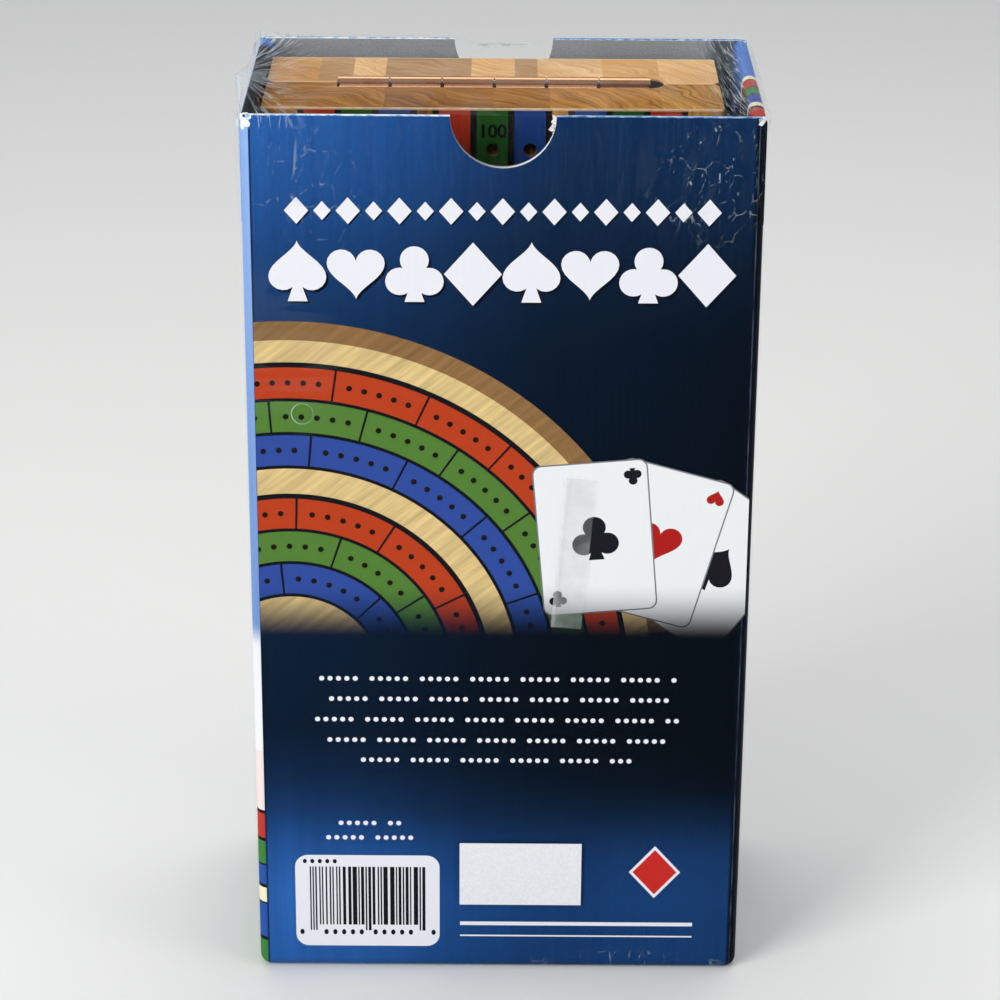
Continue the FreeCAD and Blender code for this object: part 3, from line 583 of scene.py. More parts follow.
# The side panels carry more track: the holes of a turn on the right one, of straights on the left.
right_holes = [(radius * math.cos(HOLE_STEP / radius * step) + SIDE_TURN[0],
                radius * math.sin(HOLE_STEP / radius * step) + SIDE_TURN[1])
               for radius in (20.9, 26.3, 30.8, 35.3) for step in range(-18, 19)]
left_holes = [(HOLE_STEP * step, z) for z in (3.3, 11.3, 22.5, 28.2, 34.5) for step in range(-8, 9)]
for side, spots in ((1, right_holes), (-1, left_holes)):
    for y, z in spots:
        if abs(y) < HALF_DEPTH - CREASE - 0.8 and z < HEIGHT - 1.5:
            verts = bmesh.ops.create_circle(ink_mesh, cap_ends=True, radius=HOLE_RADIUS,
                                            segments=10)["verts"]
            place = (Matrix.Translation((side * (HALF_WIDTH + PRINT_LIFT) * MM, y * MM, z * MM))
                     @ turned(side * 90, "Y") @ Matrix.Scale(MM, 4))
            bmesh.ops.transform(ink_mesh, matrix=place, verts=verts)
            set_ink({face for vert in verts for face in vert.link_faces}, HOLE_INK)

# Rows of dots in fives, as the holes of a track: five across the panel, two short ones over the bars.
DOT_STEP = 1.75
DOT_ROWS = (                    # centre, half of the length, height
    (0.0, 38.0, 69.6), (0.0, 36.0, 64.9), (0.0, 39.0, 60.1), (0.0, 36.5, 55.3), (0.0, 29.5, 50.6),
    (-27.4, 7.0, 35.5), (-27.4, 9.7, 32.0))
for centre, half_length, z in DOT_ROWS:
    for dot in range(int(2 * half_length / DOT_STEP)):
        if dot % 6 < 5:
            disc(0.55, WHITE_INK, 0, centre - half_length + DOT_STEP * (dot + 0.5), z, corners=12)

# A white patch with plain bars and rows of dots, a red diamond, and two rules. The bars are of random
# widths, with longer ones at both ends and in the middle.
BAR_INK = "#17171c"
BAR_WIDTHS, BAR_GAPS = (0.3, 0.34, 0.6, 0.66, 0.95), (0.28, 0.28, 0.5)
BAR_LONG, BAR_SHORT = (15.6, 17.1), (14.2, 17.8)        # height, and place of the middle
slab(30.9, 22.2, WHITE_INK, 0, -28.05, 16.6, corner=2.8)
bar_draws = random.Random(31)
edge = -40.4
while edge < -15.6:
    width = bar_draws.choice(BAR_WIDTHS)
    guard = edge < -38.6 or -29.0 < edge < -27.8 or edge > -17.2
    height, middle = BAR_LONG if guard else BAR_SHORT
    slab(width, height, BAR_INK, 1, edge + width / 2, middle)
    edge += width + bar_draws.choice(BAR_GAPS)
for place in (-42.2, -37.0, -35.1, -33.2, -31.3, -29.4, -26.4, -24.5, -22.6, -20.7, -18.8, -13.9):
    disc(0.48, BAR_INK, 1, place, 8.9, corners=10, stretch=1.4)
for place in (-41.4, -39.8, -38.2, -36.6, -35.0):
    disc(0.45, BAR_INK, 1, place, 26.2, corners=10, stretch=1.2)
pip("diamond", 11.0, WHITE_INK, 0, 33.4, 24.0)
pip("diamond", 9.4, "#c22c26", 1, 33.4, 24.0)
slab(50.0, 0.9, WHITE_INK, 0, 16.8, 11.2)
slab(50.0, 0.35, WHITE_INK, 0, 16.8, 8.2)

# Glossy ink whose sheen is flattened by the film over it. The pictures of wood show a long grain, and
# the foot of the picture fades into the panel's blue.
ink_paint, tree = new_material("offset_ink")
vector, x, y, z = object_mm(tree)
drawn = add(tree, "Attribute", attribute_name="ink")
shown, wooden = drawn.outputs["Color"], drawn.outputs["Alpha"]
along = add(tree, "Mapping TEXTURE", vector, Scale=(1.1, 1.0, 16.0), Rotation=(0.0, 0.9, 0.0))
wood_grain = add(tree, "TexNoise", along, Scale=1.0, Detail=3.0)  # 1.1 mm, 16 mm long
tone = add(tree, "MapRange", wood_grain, 0.3, 0.7, 0.72, 1.12)
printed = add(tree, "Mix RGBA", wooden, shown, tone, blend_type="MULTIPLY")
below = add(tree, "MapRange SMOOTHSTEP", z, PICTURE[0], PICTURE[0] + PICTURE_FADE)
outside = add(tree, "<", z, PICTURE[0])
kept = add(tree, "Math MAXIMUM", below, outside)
picture = add(tree, "Mix RGBA", kept, front_blue_with_painted_sheen(tree, x, z), printed)
bump = add(tree, "Bump", Height=flute_bump(tree, x, y, vector), Strength=0.10, Distance=0.0004)
surface = add(tree, "BsdfPrincipled", Base_Color=picture, Roughness=0.3, Normal=bump,
              Specular_IOR_Level=0.025)
add(tree, "OutputMaterial", surface)
panel_print = new_piece("carton_print", ink_mesh, ink_paint)
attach(panel_print, "carton")


# ---------------------------------------------------------------- board halves
# Two planed blocks of pale hardwood, glued up from staves of unlike tone and lacquered. The tracks
# are stained red, green and blue on the outer faces between printed black lines, so the grain shows
# through them.

START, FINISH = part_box("start_half"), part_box("finish_half")
CREST = START[1].z / MM
BOARD_MID = (START[0].x + START[1].x) / 2 / MM
START_FACE = START[0].y / MM
FINISH_FACE = FINISH[1].y / MM
JOINT = (START[1].y + FINISH[0].y) / 2 / MM
LANE_PITCH = 7.5
STREET_PITCH = 26.9
HOLE_PITCH = 5.75
BLOCK = 6 * HOLE_PITCH              # five holes and the gap for a number
FIRST_ROW = 3.0                     # on the finish half, from the hinge end
START_GAP = HOLE_PITCH - FIRST_ROW  # the gap that the fold lies in, on the start half
START_BEND = START_GAP + 3 * BLOCK
FINISH_BEND = FIRST_ROW - HOLE_PITCH + 4 * BLOCK
LINE = 1.25                         # black line between the lanes
CROSS_LINE = 0.8                    # black line across a street at each number
STREET_HALF = 1.5 * LANE_PITCH + LINE / 2
TRACK_BLACK = "#15110f"
STAINS = ("#1d458f", "#225f1e", "#bb371b")      # from the inside of a turn


def wood_tone(tree, x, y, z, shift, pale, dark, staves):
    """Growth rings round a pith far below each stave: arcs on the end grain, lines along the faces."""
    cast = add(tree, "ValToRGB CONSTANT", add(tree, "MapRange", x, -50.0, 50.0),
               stops=[((start + 50.0) / 100.0, tint) for start, tint in staves])
    tint = add(tree, "SeparateXYZ", cast).outputs["Z"]
    apart = add(tree, "Math MULTIPLY_ADD", tint, 90.0, shift)
    centre = add(tree, "CombineXYZ", add(tree, "+", x, apart),
                 add(tree, "+", y, 70.0 + shift), add(tree, "*", z, 0.05))
    sway = add(tree, "TexNoise", centre, Scale=0.035, Detail=3.0, Roughness=0.6)  # 29 mm
    flat = add(tree, "VectorMath MULTIPLY", centre, (1.0, 1.0, 0.0))
    radius = add(tree, "VectorMath LENGTH", flat)
    rings = add(tree, "Math MULTIPLY_ADD", sway, 24.0, radius)
    along = add(tree, "CombineXYZ", add(tree, "*", rings, 0.9),
                add(tree, "*", x, 0.035), add(tree, "*", z, 0.012))
    late = add(tree, "TexNoise", along, Scale=1.0, Detail=3.0, Roughness=0.65)  # 1.1 mm apart
    # Real pores are far finer: these are as coarse as they need to be to show.
    fine = add(tree, "CombineXYZ", x, y, add(tree, "*", z, 0.06))
    pores = add(tree, "TexNoise", fine, Scale=1.6, Detail=5.0, Roughness=0.7)  # 0.6 mm, 10 mm long
    cloud = add(tree, "TexNoise", fine, Scale=0.06, Detail=2.0)  # 17 mm
    mixed = add(tree, "Math MULTIPLY_ADD", late, 0.9, add(tree, "*", pores, 0.22))
    mixed = add(tree, "Math MULTIPLY_ADD", cloud, 0.35, mixed)
    tone = add(tree, "ValToRGB", mixed, stops=((0.55, pale), (0.90, dark)))
    tone = add(tree, "Mix RGBA", 1.0, tone, cast, blend_type="MULTIPLY")
    return tone, pores


def turn_offset(tree, u, d, middle, radius, bend):
    """Distance outwards from the middle lane of a street that turns at the bend, in millimetres."""
    from_middle = add(tree, "-", u, middle)
    past = add(tree, "Math MAXIMUM", add(tree, "-", d, bend), 0.0)
    reach = add(tree, "VectorMath LENGTH", add(tree, "CombineXYZ", from_middle, past))
    return add(tree, "-", reach, radius)


def lane_colour(tree, offset):
    """The three stains of a street, with black lines at the borders of its lanes."""
    span = 4 * LANE_PITCH
    share = add(tree, "MapRange", offset, -span / 2, span / 2)
    stops = []
    for lane in range(4):
        border = 0.5 + (lane - 1.5) * LANE_PITCH / span
        stops.append((border - LINE / 2 / span, TRACK_BLACK))
        if lane < 3:
            stops.append((border + LINE / 2 / span, STAINS[lane]))
    return add(tree, "ValToRGB CONSTANT", share, stops=stops)


def stained(tree, wood, u, d, bend, streets, gap):
    """The wood's colour with its streets stained on it: (middle, radius, mirrored, length or None)."""
    colour = wood
    for middle, radius, mirrored, length in streets:
        offset = turn_offset(tree, u, d, middle, radius, bend if length is None else 10 * bend)
        if mirrored:
            offset = add(tree, "*", offset, -1.0)
        on_street = inside(tree, offset, STREET_HALF)
        if length is not None:
            on_street = add(tree, "*", on_street, add(tree, "<", d, length))
        # The cross lines of the straights fall on the gaps, one block apart.
        along = add(tree, "Math MODULO", add(tree, "-", d, gap - BLOCK / 2), BLOCK)
        cross = inside(tree, add(tree, "-", along, BLOCK / 2), CROSS_LINE / 2)
        straight = add(tree, "<", d, bend + 1.0)
        past_fold = add(tree, ">", d, BLOCK / 2)
        cross = add(tree, "*", cross, straight, past_fold)
        lanes = add(tree, "Mix RGBA", cross, lane_colour(tree, offset), TRACK_BLACK)
        stain = add(tree, "Mix RGBA", 0.30, lanes, wood, blend_type="MULTIPLY")
        colour = add(tree, "Mix RGBA", on_street, colour, stain)
    return colour


def track_wood(name, face, bend, streets, gap, pale, dark, shift, staves):
    """Wood under a thin satin lacquer, which softens its shine and leaves its pores open."""
    wood, tree = new_material(name)
    vector, x, y, z = object_mm(tree)
    base, pores = wood_tone(tree, x, y, z, shift, pale, dark, staves)
    u = add(tree, "-", x, BOARD_MID)
    d = add(tree, "-", CREST, z)
    from_face = add(tree, "-", y, face)
    from_joint = add(tree, "-", y, JOINT)
    on_face = inside(tree, from_face, 0.06)
    shown = add(tree, "Mix RGBA", on_face, base, stained(tree, base, u, d, bend, streets, gap))
    # The arrises of the end are painted paler, as a highlight where they catch the light.
    near_edge = add(tree, "Math MAXIMUM", inside(tree, from_face, 0.45), inside(tree, from_joint, 0.5))
    arris_highlight = add(tree, "*", near_edge, add(tree, ">", z, CREST - 0.45), 0.5)
    shown = add(tree, "Mix RGBA", arris_highlight, shown, "#f0c795")
    # A broken pale line along the top arris of the tracks' face is painted as a highlight.
    rub = add(tree, "TexNoise", vector, Scale=0.7, Detail=4.0)  # 1.4 mm
    arris_face_highlight = add(tree, "*", add(tree, ">", z, CREST - 0.22), on_face,
                  add(tree, "MapRange", rub, 0.35, 0.6, 0.25, 0.8))
    shown = add(tree, "Mix RGBA", arris_face_highlight, shown, "#f2e2d0")
    # No lacquer reaches the sawn slot under the hinge, which is painted dark brown.
    in_slot = inside(tree, from_joint, 3.9)
    below = add(tree, "<", z, CREST - 0.3)
    above = add(tree, ">", z, CREST - 4.0)
    slot_dark = add(tree, "*", in_slot, below, above)
    shown = add(tree, "Mix RGBA", slot_dark, shown, "#35230f")
    bump = add(tree, "Bump", Height=pores, Strength=0.12, Distance=0.0003)
    surface = add(tree, "BsdfPrincipled", Base_Color=shown, Roughness=0.42, Normal=bump, IOR=1.5,
                  Specular_IOR_Level=0.1)
    add(tree, "OutputMaterial", surface)
    return wood


FAR = 500.0         # a straight street is a turn so wide that its bend doesn't show
START_STREETS = (
    (STREET_PITCH / 2, STREET_PITCH / 2, False, None),
    (-STREET_PITCH - FAR, FAR, True, START_BEND + 3.6 * HOLE_PITCH),
)
FINISH_STREETS = (
    (0.0, STREET_PITCH, False, None),
    (-FAR, FAR, True, FINISH_BEND + 0.5 * HOLE_PITCH),
)
START_STAVES = (    # the left side of each stave, and its tint
    (-50.0, "#e2d4b8"), (-24.0, "#cdbc9c"), (-2.0, "#dccba6"), (9.0, "#fbedc8"), (31.5, "#fffff0"))
FINISH_STAVES = (
    (-50.0, "#e4d3b2"), (-38.0, "#cdc4bc"), (-31.0, "#fffbf2"), (-24.3, "#c9c2c2"), (-7.0, "#fff6e8"),
    (2.2, "#d2cccc"), (7.0, "#fffdf8"), (20.3, "#efe0c8"), (32.0, "#fffcf0"))
start_wood = track_wood("lacquered_start_half", START_FACE, START_BEND, START_STREETS, START_GAP,
                        "#d39c50", "#835820", 12.0, START_STAVES)
finish_wood = track_wood("lacquered_finish_half", FINISH_FACE, FINISH_BEND, FINISH_STREETS,
                         FIRST_ROW - HOLE_PITCH, "#f6cf9b", "#d0a26e", 40.0, FINISH_STAVES)
paint("start_half", start_wood)
for name in ("finish_half", "peg_store_cover"):
    paint(name, finish_wood)


# ---------------------------------------------------------------- numbers
# Each fifth hole of the tracks is numbered in black, printed in the green lane beside the line
# that crosses it. The numbers read with the finish half uppermost, so they are upside down on it.

NUMBER_HEIGHT = 2.6
CAPITAL = 0.69              # a digit's height to the size of its letters
NUMBER_STEP = 2.05          # from a cross line to the middle of its number
NUMBER_LIFT = 0.012         # from the wood to the middle of the ink
NUMBER_HALF_PLY = 0.008
NUMBER_SPREAD = 0.11        # of the ink beyond the thin letters

# Black ink on bare stain, which is almost dull, and a little uneven where it sank in.
number_ink, tree = new_material("track_number_ink")
vector, x, y, z = object_mm(tree)
fibre = add(tree, "TexNoise", vector, Scale=4.0, Detail=3.0)  # 0.25 mm
tone = add(tree, "ValToRGB", fibre, stops=((0.35, "#060505"), (0.75, "#14110f")))
surface = add(tree, "BsdfPrincipled", Base_Color=tone, Roughness=0.5, Specular_IOR_Level=0.1)
add(tree, "OutputMaterial", surface)


def print_numbers(name, marks, turn, body):
    """Marks are (text, x, z) in millimetres; the numbers are raised by the ink's thickness."""
    sheet = bmesh.new()
    for text, x, z in marks:
        curve = bpy.data.curves.new("number", "FONT")
        curve.body = text
        curve.align_x = "CENTER"
        curve.align_y = "CENTER"
        curve.size = NUMBER_HEIGHT / CAPITAL * MM
        curve.extrude = NUMBER_HALF_PLY * MM
        curve.offset = NUMBER_SPREAD * MM
        curve.resolution_u = 4
        shape = bpy.data.objects.new("number", curve)
        bpy.context.scene.collection.objects.link(shape)
        mesh = bpy.data.meshes.new_from_object(shape)
        mesh.transform(turn(x * MM, z * MM))
        sheet.from_mesh(mesh)
        bpy.data.objects.remove(shape)
        bpy.data.meshes.remove(mesh)
    piece = new_piece(name, sheet, number_ink)
    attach(piece, body)


def on_start(x, z):
    return Matrix.Translation((x, (START_FACE - NUMBER_LIFT) * MM, z)) @ turned(90, "X")


def on_finish(x, z):
    """Facing backwards and upside down, with its top towards the half's free end."""
    return (Matrix.Translation((x, (FINISH_FACE + NUMBER_LIFT) * MM, z)) @ turned(180, "Z")
            @ turned(90, "X") @ turned(180, "Z"))


# From the crest down, one number in each street.
start_rows = (("15", "100", "65"), ("10", "95", "70"), ("5", "90", "75"), ("", "85", "80"))
start_marks = [(text, BOARD_MID + (street - 1) * STREET_PITCH,
                CREST - (START_GAP + BLOCK * row + NUMBER_STEP))
               for row, texts in enumerate(start_rows) for street, text in enumerate(texts) if text]
finish_rows = (("20", "105", "60"), ("25", "110", "55"), ("30", "115", "50"), ("35", "120", "45"))
finish_marks = [(text, BOARD_MID + (street - 1) * STREET_PITCH,
                 CREST - (FIRST_ROW - HOLE_PITCH + BLOCK * (row + 1) - NUMBER_STEP))
                for row, texts in enumerate(finish_rows) for street, text in enumerate(texts)]
finish_marks.append(("40", BOARD_MID, CREST - (FINISH_BEND + STREET_PITCH)))
print_numbers("start_half_numbers", start_marks, on_start, "folding_half")
print_numbers("finish_half_numbers", finish_marks, on_finish, "board")


# ---------------------------------------------------------------- hinge
# A brass butt hinge with a dark bronzed finish: leaves stamped from sheet, knuckles rolled round
# a drawn pin, countersunk screws. Fine bright specks show where the finish is rubbed.

def bronzed(name, colour, rough):
    """Metal with a dark finish, rubbed to bright specks as wide as a coarse grit."""
    metal, tree = new_material(name)
    vector, x, y, z = object_mm(tree)
    specks = add(tree, "TexNoise", vector, Scale=2.4, Detail=5.0, Roughness=0.75)  # 0.4 mm
    rubbed = add(tree, "ValToRGB", specks, stops=((0.60, colour), (0.74, "#e8c9ae")))
    surface = add(tree, "BsdfPrincipled", Base_Color=rubbed, Metallic=1.0, Roughness=rough)
    add(tree, "OutputMaterial", surface)
    return metal


bronze = bronzed("bronzed_brass", "#c6936e", 0.24)      # dark and red, with a sharp shine
steel = bronzed("drawn_pin_wire", "#8f8a85", 0.25)      # the pin's ends are greyer than the leaves
for name in ("hinge_leaf_start", "hinge_leaf_finish", "hinge_screws_start", "hinge_screws_finish"):
    paint(name, bronze)
paint("hinge_pin", steel)

# Each leaf is drawn out to a shoulder in front of its knuckles, which fills its side of the slot.
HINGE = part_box("hinge_leaf_start")
KNUCKLES = 6
SHOULDER_WIDTH = 2.1
SHOULDER_DROP = 0.55            # from the barrel to the shoulder's outer edge
SHOULDER_PLY = 0.35
BARREL = (HINGE[1].y - HINGE[0].y) / 2 / MM
knuckle_pitch = (HINGE[1].x - HINGE[0].x) / MM / KNUCKLES
for body, direction in (("folding_half", -1), ("board", 1)):
    bm = bmesh.new()
    for knuckle in range(KNUCKLES):
        plate = bmesh.ops.create_grid(bm, x_segments=6, y_segments=6, size=0.5)["verts"]
        for vert in plate:
            out = vert.co.y + 0.5
            vert.co = Vector(((knuckle + 0.5 + 0.93 * vert.co.x) * knuckle_pitch + HINGE[0].x / MM,
                              JOINT + direction * (BARREL + 0.02 + SHOULDER_WIDTH * out),
                              CREST - 0.25 - SHOULDER_DROP * out ** 2)) * MM
    bmesh.ops.solidify(bm, geom=bm.faces[:], thickness=SHOULDER_PLY * MM)
    bmesh.ops.recalc_face_normals(bm, faces=bm.faces)
    shoulders = new_piece(f"hinge_shoulders_{body}", bm, bronze)
    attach(shoulders, body)


# ---------------------------------------------------------------- pegs
# Nine moulded ABS pegs with grip rings, three of each colour, standing in the store behind the
# sliding cover.

# The moulded skin is glossy, with slight flow marks in its shade and its shine.
for colour, code in (("red", "#b3201c"), ("green", "#2f8f33"), ("blue", "#1f3f9f")):
    plastic, tree = new_material(f"moulded_{colour}_abs")
    vector, x, y, z = object_mm(tree)
    flow = add(tree, "TexNoise", vector, Scale=0.5, Detail=2.0)  # 2 mm
    strength = add(tree, "MapRange", flow, To_Min=0.9, To_Max=1.1)
    shade = add(tree, "HueSaturation", Color=code, Value=strength)
    rough = add(tree, "MapRange", flow, To_Min=0.18, To_Max=0.32)
    surface = add(tree, "BsdfPrincipled", Base_Color=shade, Roughness=rough, IOR=1.53)
    add(tree, "OutputMaterial", surface)
    for number in (1, 2, 3):
        paint(f"peg_{colour}_{number}", plastic)


# ---------------------------------------------------------------- label and tape
# A blank self-adhesive paper label and a strip of clear acrylic tape, cut by the teeth of its
# dispenser. Both are stuck on the film.

# A coated paper with a dull surface, in which the fibre shows as faint clouds.
label_paper, tree = new_material("coated_label_paper")
vector, x, y, z = object_mm(tree)
fibre = add(tree, "TexNoise", vector, Scale=2.0, Detail=4.0)  # 0.5 mm
tone = add(tree, "ValToRGB", fibre, stops=((0.3, "#dddde2"), (0.7, "#e9e9ed")))
surface = add(tree, "BsdfPrincipled", Base_Color=tone, Roughness=0.55)
add(tree, "OutputMaterial", surface)
paint("blank_label", label_paper)

TAPE_LENGTH, TAPE_WIDTH, TAPE_PLY, TAPE_TILT = 33.6, 6.3, 0.1, 4.8
TAPE_PLACE = (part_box("clear_tape")[0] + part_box("clear_tape")[1]) / 2
TEETH = 10
TOOTH_DEPTH = 0.25
bm = bmesh.new()
strip = bmesh.ops.create_grid(bm, x_segments=2 * TEETH, y_segments=8, size=0.5)["verts"]
bmesh.ops.scale(bm, vec=(TAPE_WIDTH * MM, (TAPE_LENGTH - 2 * TOOTH_DEPTH) * MM, 1.0), verts=strip)
for vert in strip:
    place = round((vert.co.x / (TAPE_WIDTH * MM) + 0.5) * 2 * TEETH)
    if abs(vert.co.y) > 0.49 * TAPE_LENGTH * MM and place % 2:
        vert.co.y += math.copysign(TOOTH_DEPTH * MM, vert.co.y)
bmesh.ops.solidify(bm, geom=bm.faces[:], thickness=TAPE_PLY * MM)
bmesh.ops.recalc_face_normals(bm, faces=bm.faces)
stuck = Matrix.Translation(TAPE_PLACE) @ turned(TAPE_TILT, "Y") @ turned(90, "X")
bmesh.ops.transform(bm, matrix=stuck, verts=bm.verts)

# Almost clear, with cloudy patches where the adhesive holds air, and milkier along the left edge.
tape_film, tree = new_material("clear_acrylic_tape")
vector, x, y, z = object_mm(tree)
to_middle = Matrix.Rotation(-math.radians(TAPE_TILT), 3, "Y") @ TAPE_PLACE
level = add(tree, "Mapping", vector, Rotation=(0.0, -math.radians(TAPE_TILT), 0.0),
            Location=tuple(-part / MM for part in to_middle))
across = add(tree, "SeparateXYZ", level).outputs["X"]
left_edge = add(tree, "MapRange", across, -0.5 * TAPE_WIDTH, -0.5 * TAPE_WIDTH + 1.3, 1.0, 0.0)
bubbles = add(tree, "TexNoise", vector, Scale=0.25, Detail=2.0)  # 4 mm
cloudy = add(tree, "MapRange", bubbles, 0.35, 0.65, 0.05, 0.13)
share = add(tree, "Math MULTIPLY_ADD", left_edge, 0.12, cloudy)
clear = add(tree, "BsdfTransparent")
shine = add(tree, "BsdfPrincipled", Base_Color="#dfe2e6", Roughness=0.2, IOR=1.47)
tape_mix = add(tree, "MixShader", share, clear, shine)
add(tree, "OutputMaterial", tape_mix)
tape = new_piece("clear_tape_strip", bm, tape_film)
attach(tape, "film")
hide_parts("clear_tape")


# ---------------------------------------------------------------- film
# Clear polyolefin shrink film: one bag pulled over the carton and shrunk with hot air. It lies
# tight on the panels, bridges the thumb notches, hangs a little between the rims and the board, and
# is left in fans and pleats at the top of both sides.

FILM_GAP = 0.42
TOP = HEIGHT + FILM_GAP
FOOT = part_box("shrink_film")[0].z / MM
BOARD_HALF = (START[1].x - START[0].x) / 2 / MM
HANG = 0.8                      # of the film between the rims
NOTCH_SAG = (0.2, 2.6)          # into the front thumb notch, and into the back one
GAP_SAG = 0.9                   # into the gaps beside the board
FAN_HEIGHT = (0.9, 0.3)         # of the fans at the left end, and at the right end
PLEAT_REACH = (2.3, 0.25)
FOLD_HEIGHT = (0.3, 0.12)
CRINKLE = 0.16
KNOT_HEIGHT = (0.7, 1.1)        # at the front corners, and at the back ones


def smooth(low, high, value):
    """0 at the low end and 1 at the high end, with a soft start and stop between them."""
    share = min(max((value - low) / (high - low), 0.0), 1.0)
    return share * share * (3 - 2 * share)


def film_point(p):
    """Where a point of a plain box round the carton goes once the film has shrunk. Millimetres."""
    x, y, z = p
    wall_x = HALF_WIDTH + FILM_GAP
    wall_y = HALF_DEPTH + FILM_GAP
    side = math.copysign(1.0, x)
    at_right, at_back = x >= 0, y > 0
    # The upright creases are round.
    over_x = abs(x) - (wall_x - CREASE)
    over_y = abs(y) - (wall_y - CREASE)
    if over_x > 0 and over_y > 0:
        reach = math.hypot(over_x, over_y)
        larger = max(over_x, over_y)
        x = side * (wall_x - CREASE + over_x * larger / reach)
        y = math.copysign(wall_y - CREASE + over_y * larger / reach, y)
    rough = noise.noise(Vector((x, y, z)) * 0.11)
    fine = noise.noise(Vector((x, y, z)) * 0.5)
    # Over the top: it hangs between the rims and lies on the board.
    if z > TOP - 0.01:
        inner_y = smooth(wall_y, wall_y - 9.0, abs(y))
        inner_x = smooth(wall_x, wall_x - 7.0, abs(x))
        hang = HANG * min(inner_y, inner_x) * (0.8 + 0.5 * rough)
        notch = smooth(NOTCH_RADIUS + 1.0, 3.0, abs(x)) * smooth(wall_y - 7.0, wall_y, abs(y))
        over_board = smooth(BOARD_HALF + 2.0, BOARD_HALF - 2.0, abs(x - BOARD_MID))
        gap = (1 - over_board) * inner_x * inner_y
        angle = math.atan2(y, abs(x) - wall_x + 1.0)
        fan = abs(math.sin(9.0 * angle + 3.0 * rough)) * gap
        z = TOP - hang - NOTCH_SAG[at_back] * notch - GAP_SAG * gap + FAN_HEIGHT[at_right] * fan
    # Down the sides: a pleat in the middle and drawn folds below it.
    depth = TOP - z
    near_top = smooth(34.0, 0.0, depth)
    on_side = smooth(wall_y, wall_y - 6.0, abs(y)) * (1.0 if abs(x) > wall_x - 1.5 else 0.0)
    pleat = max(0.0, 1 - abs(y - 0.10 * depth + 1.5) / 9.0) ** 1.5 * smooth(11.0, 0.5, depth)
    if on_side:
        folds = near_top * FOLD_HEIGHT[at_right] * abs(math.sin(0.55 * y + 4 * rough))
        x += side * on_side * (PLEAT_REACH[at_right] * pleat + folds)
    # Down the front and back: light crinkles that fade away from the rim and the corners.
    if abs(y) > wall_y - 0.5:
        crinkle = smooth(55.0, 5.0, depth) * smooth(20.0, wall_x, abs(x)) + 0.25
        y += math.copysign(CRINKLE * crinkle * (rough + fine), y)
    # It stands off the knocked left corner.
    if x < -wall_x + 2.0 and y < 0:
        x -= 0.7 * smooth(26.0, 12.0, depth) * smooth(1.0, 6.0, depth)
    # Each top corner is gathered into a soft knot.
    knot = Vector((abs(x) - HALF_WIDTH + 1.2, abs(y) - HALF_DEPTH + 1.2, (z - HEIGHT) * 0.7)).length
    lift = smooth(4.5, 0.0, knot)
    z += KNOT_HEIGHT[at_back] * lift
    x += side * 0.5 * lift * (1 + fine)
    if z < FOOT + 1.5:
        z += 0.35 * (rough + 1.0)
    return Vector((x, y, z))


bm = bmesh.new()
bmesh.ops.create_grid(bm, x_segments=104, y_segments=62, size=1.0, matrix=Matrix.Translation((0, 0, 1)))
for centre, turn, across in (((0, -1, 0), 0, 104), ((0, 1, 0), 180, 104), ((1, 0, 0), 90, 62),
                             ((-1, 0, 0), -90, 62)):
    upright = Matrix.Translation(centre) @ turned(turn, "Z") @ turned(90, "X")
    bmesh.ops.create_grid(bm, x_segments=across, y_segments=110, size=1.0, matrix=upright)
bmesh.ops.remove_doubles(bm, verts=bm.verts, dist=1e-5)
bag_size = Vector((HALF_WIDTH + FILM_GAP, HALF_DEPTH + FILM_GAP, (TOP - FOOT) / 2))
for vert in bm.verts:
    spot = Vector(a * b for a, b in zip(vert.co, bag_size))
    spot.z += (TOP + FOOT) / 2
    vert.co = film_point(spot) * MM
bmesh.ops.recalc_face_normals(bm, faces=bm.faces)
for face in bm.faces:
    face.smooth = True


def spot_mask(tree, vector, centre, reach, core=0.3):
    """1 at a point of the film, falling to 0 at the reach (x, y, z) round it."""
    moved = add(tree, "VectorMath SUBTRACT", vector, centre)
    scaled = add(tree, "VectorMath DIVIDE", moved, reach)
    apart = add(tree, "VectorMath LENGTH", scaled)
    return add(tree, "MapRange SMOOTHSTEP", apart, core, 1.0, 1.0, 0.0)


# Clear and very glossy. It shows by its shine alone: as a bright line on each crease and fold, and as
# a veil over the dark gap behind the board. Each mark below is a mask, with its share of that shine, a
# white gloss that paints highlights at fixed places; only the edge-on shine at the end follows the view.
film_sheet, tree = new_material("clear_shrink_film")
vector, x, y, z = object_mm(tree)
size_x = add(tree, "Math ABSOLUTE", x)
size_y = add(tree, "Math ABSOLUTE", y)
above = add(tree, "MapRange", z, HEIGHT - 2.6, HEIGHT - 1.8)
between = add(tree, "<", size_y, HALF_DEPTH - 0.6)
on_top = add(tree, "*", above, between)
on_panel = add(tree, ">", size_y, HALF_DEPTH - 0.5)
marks = []

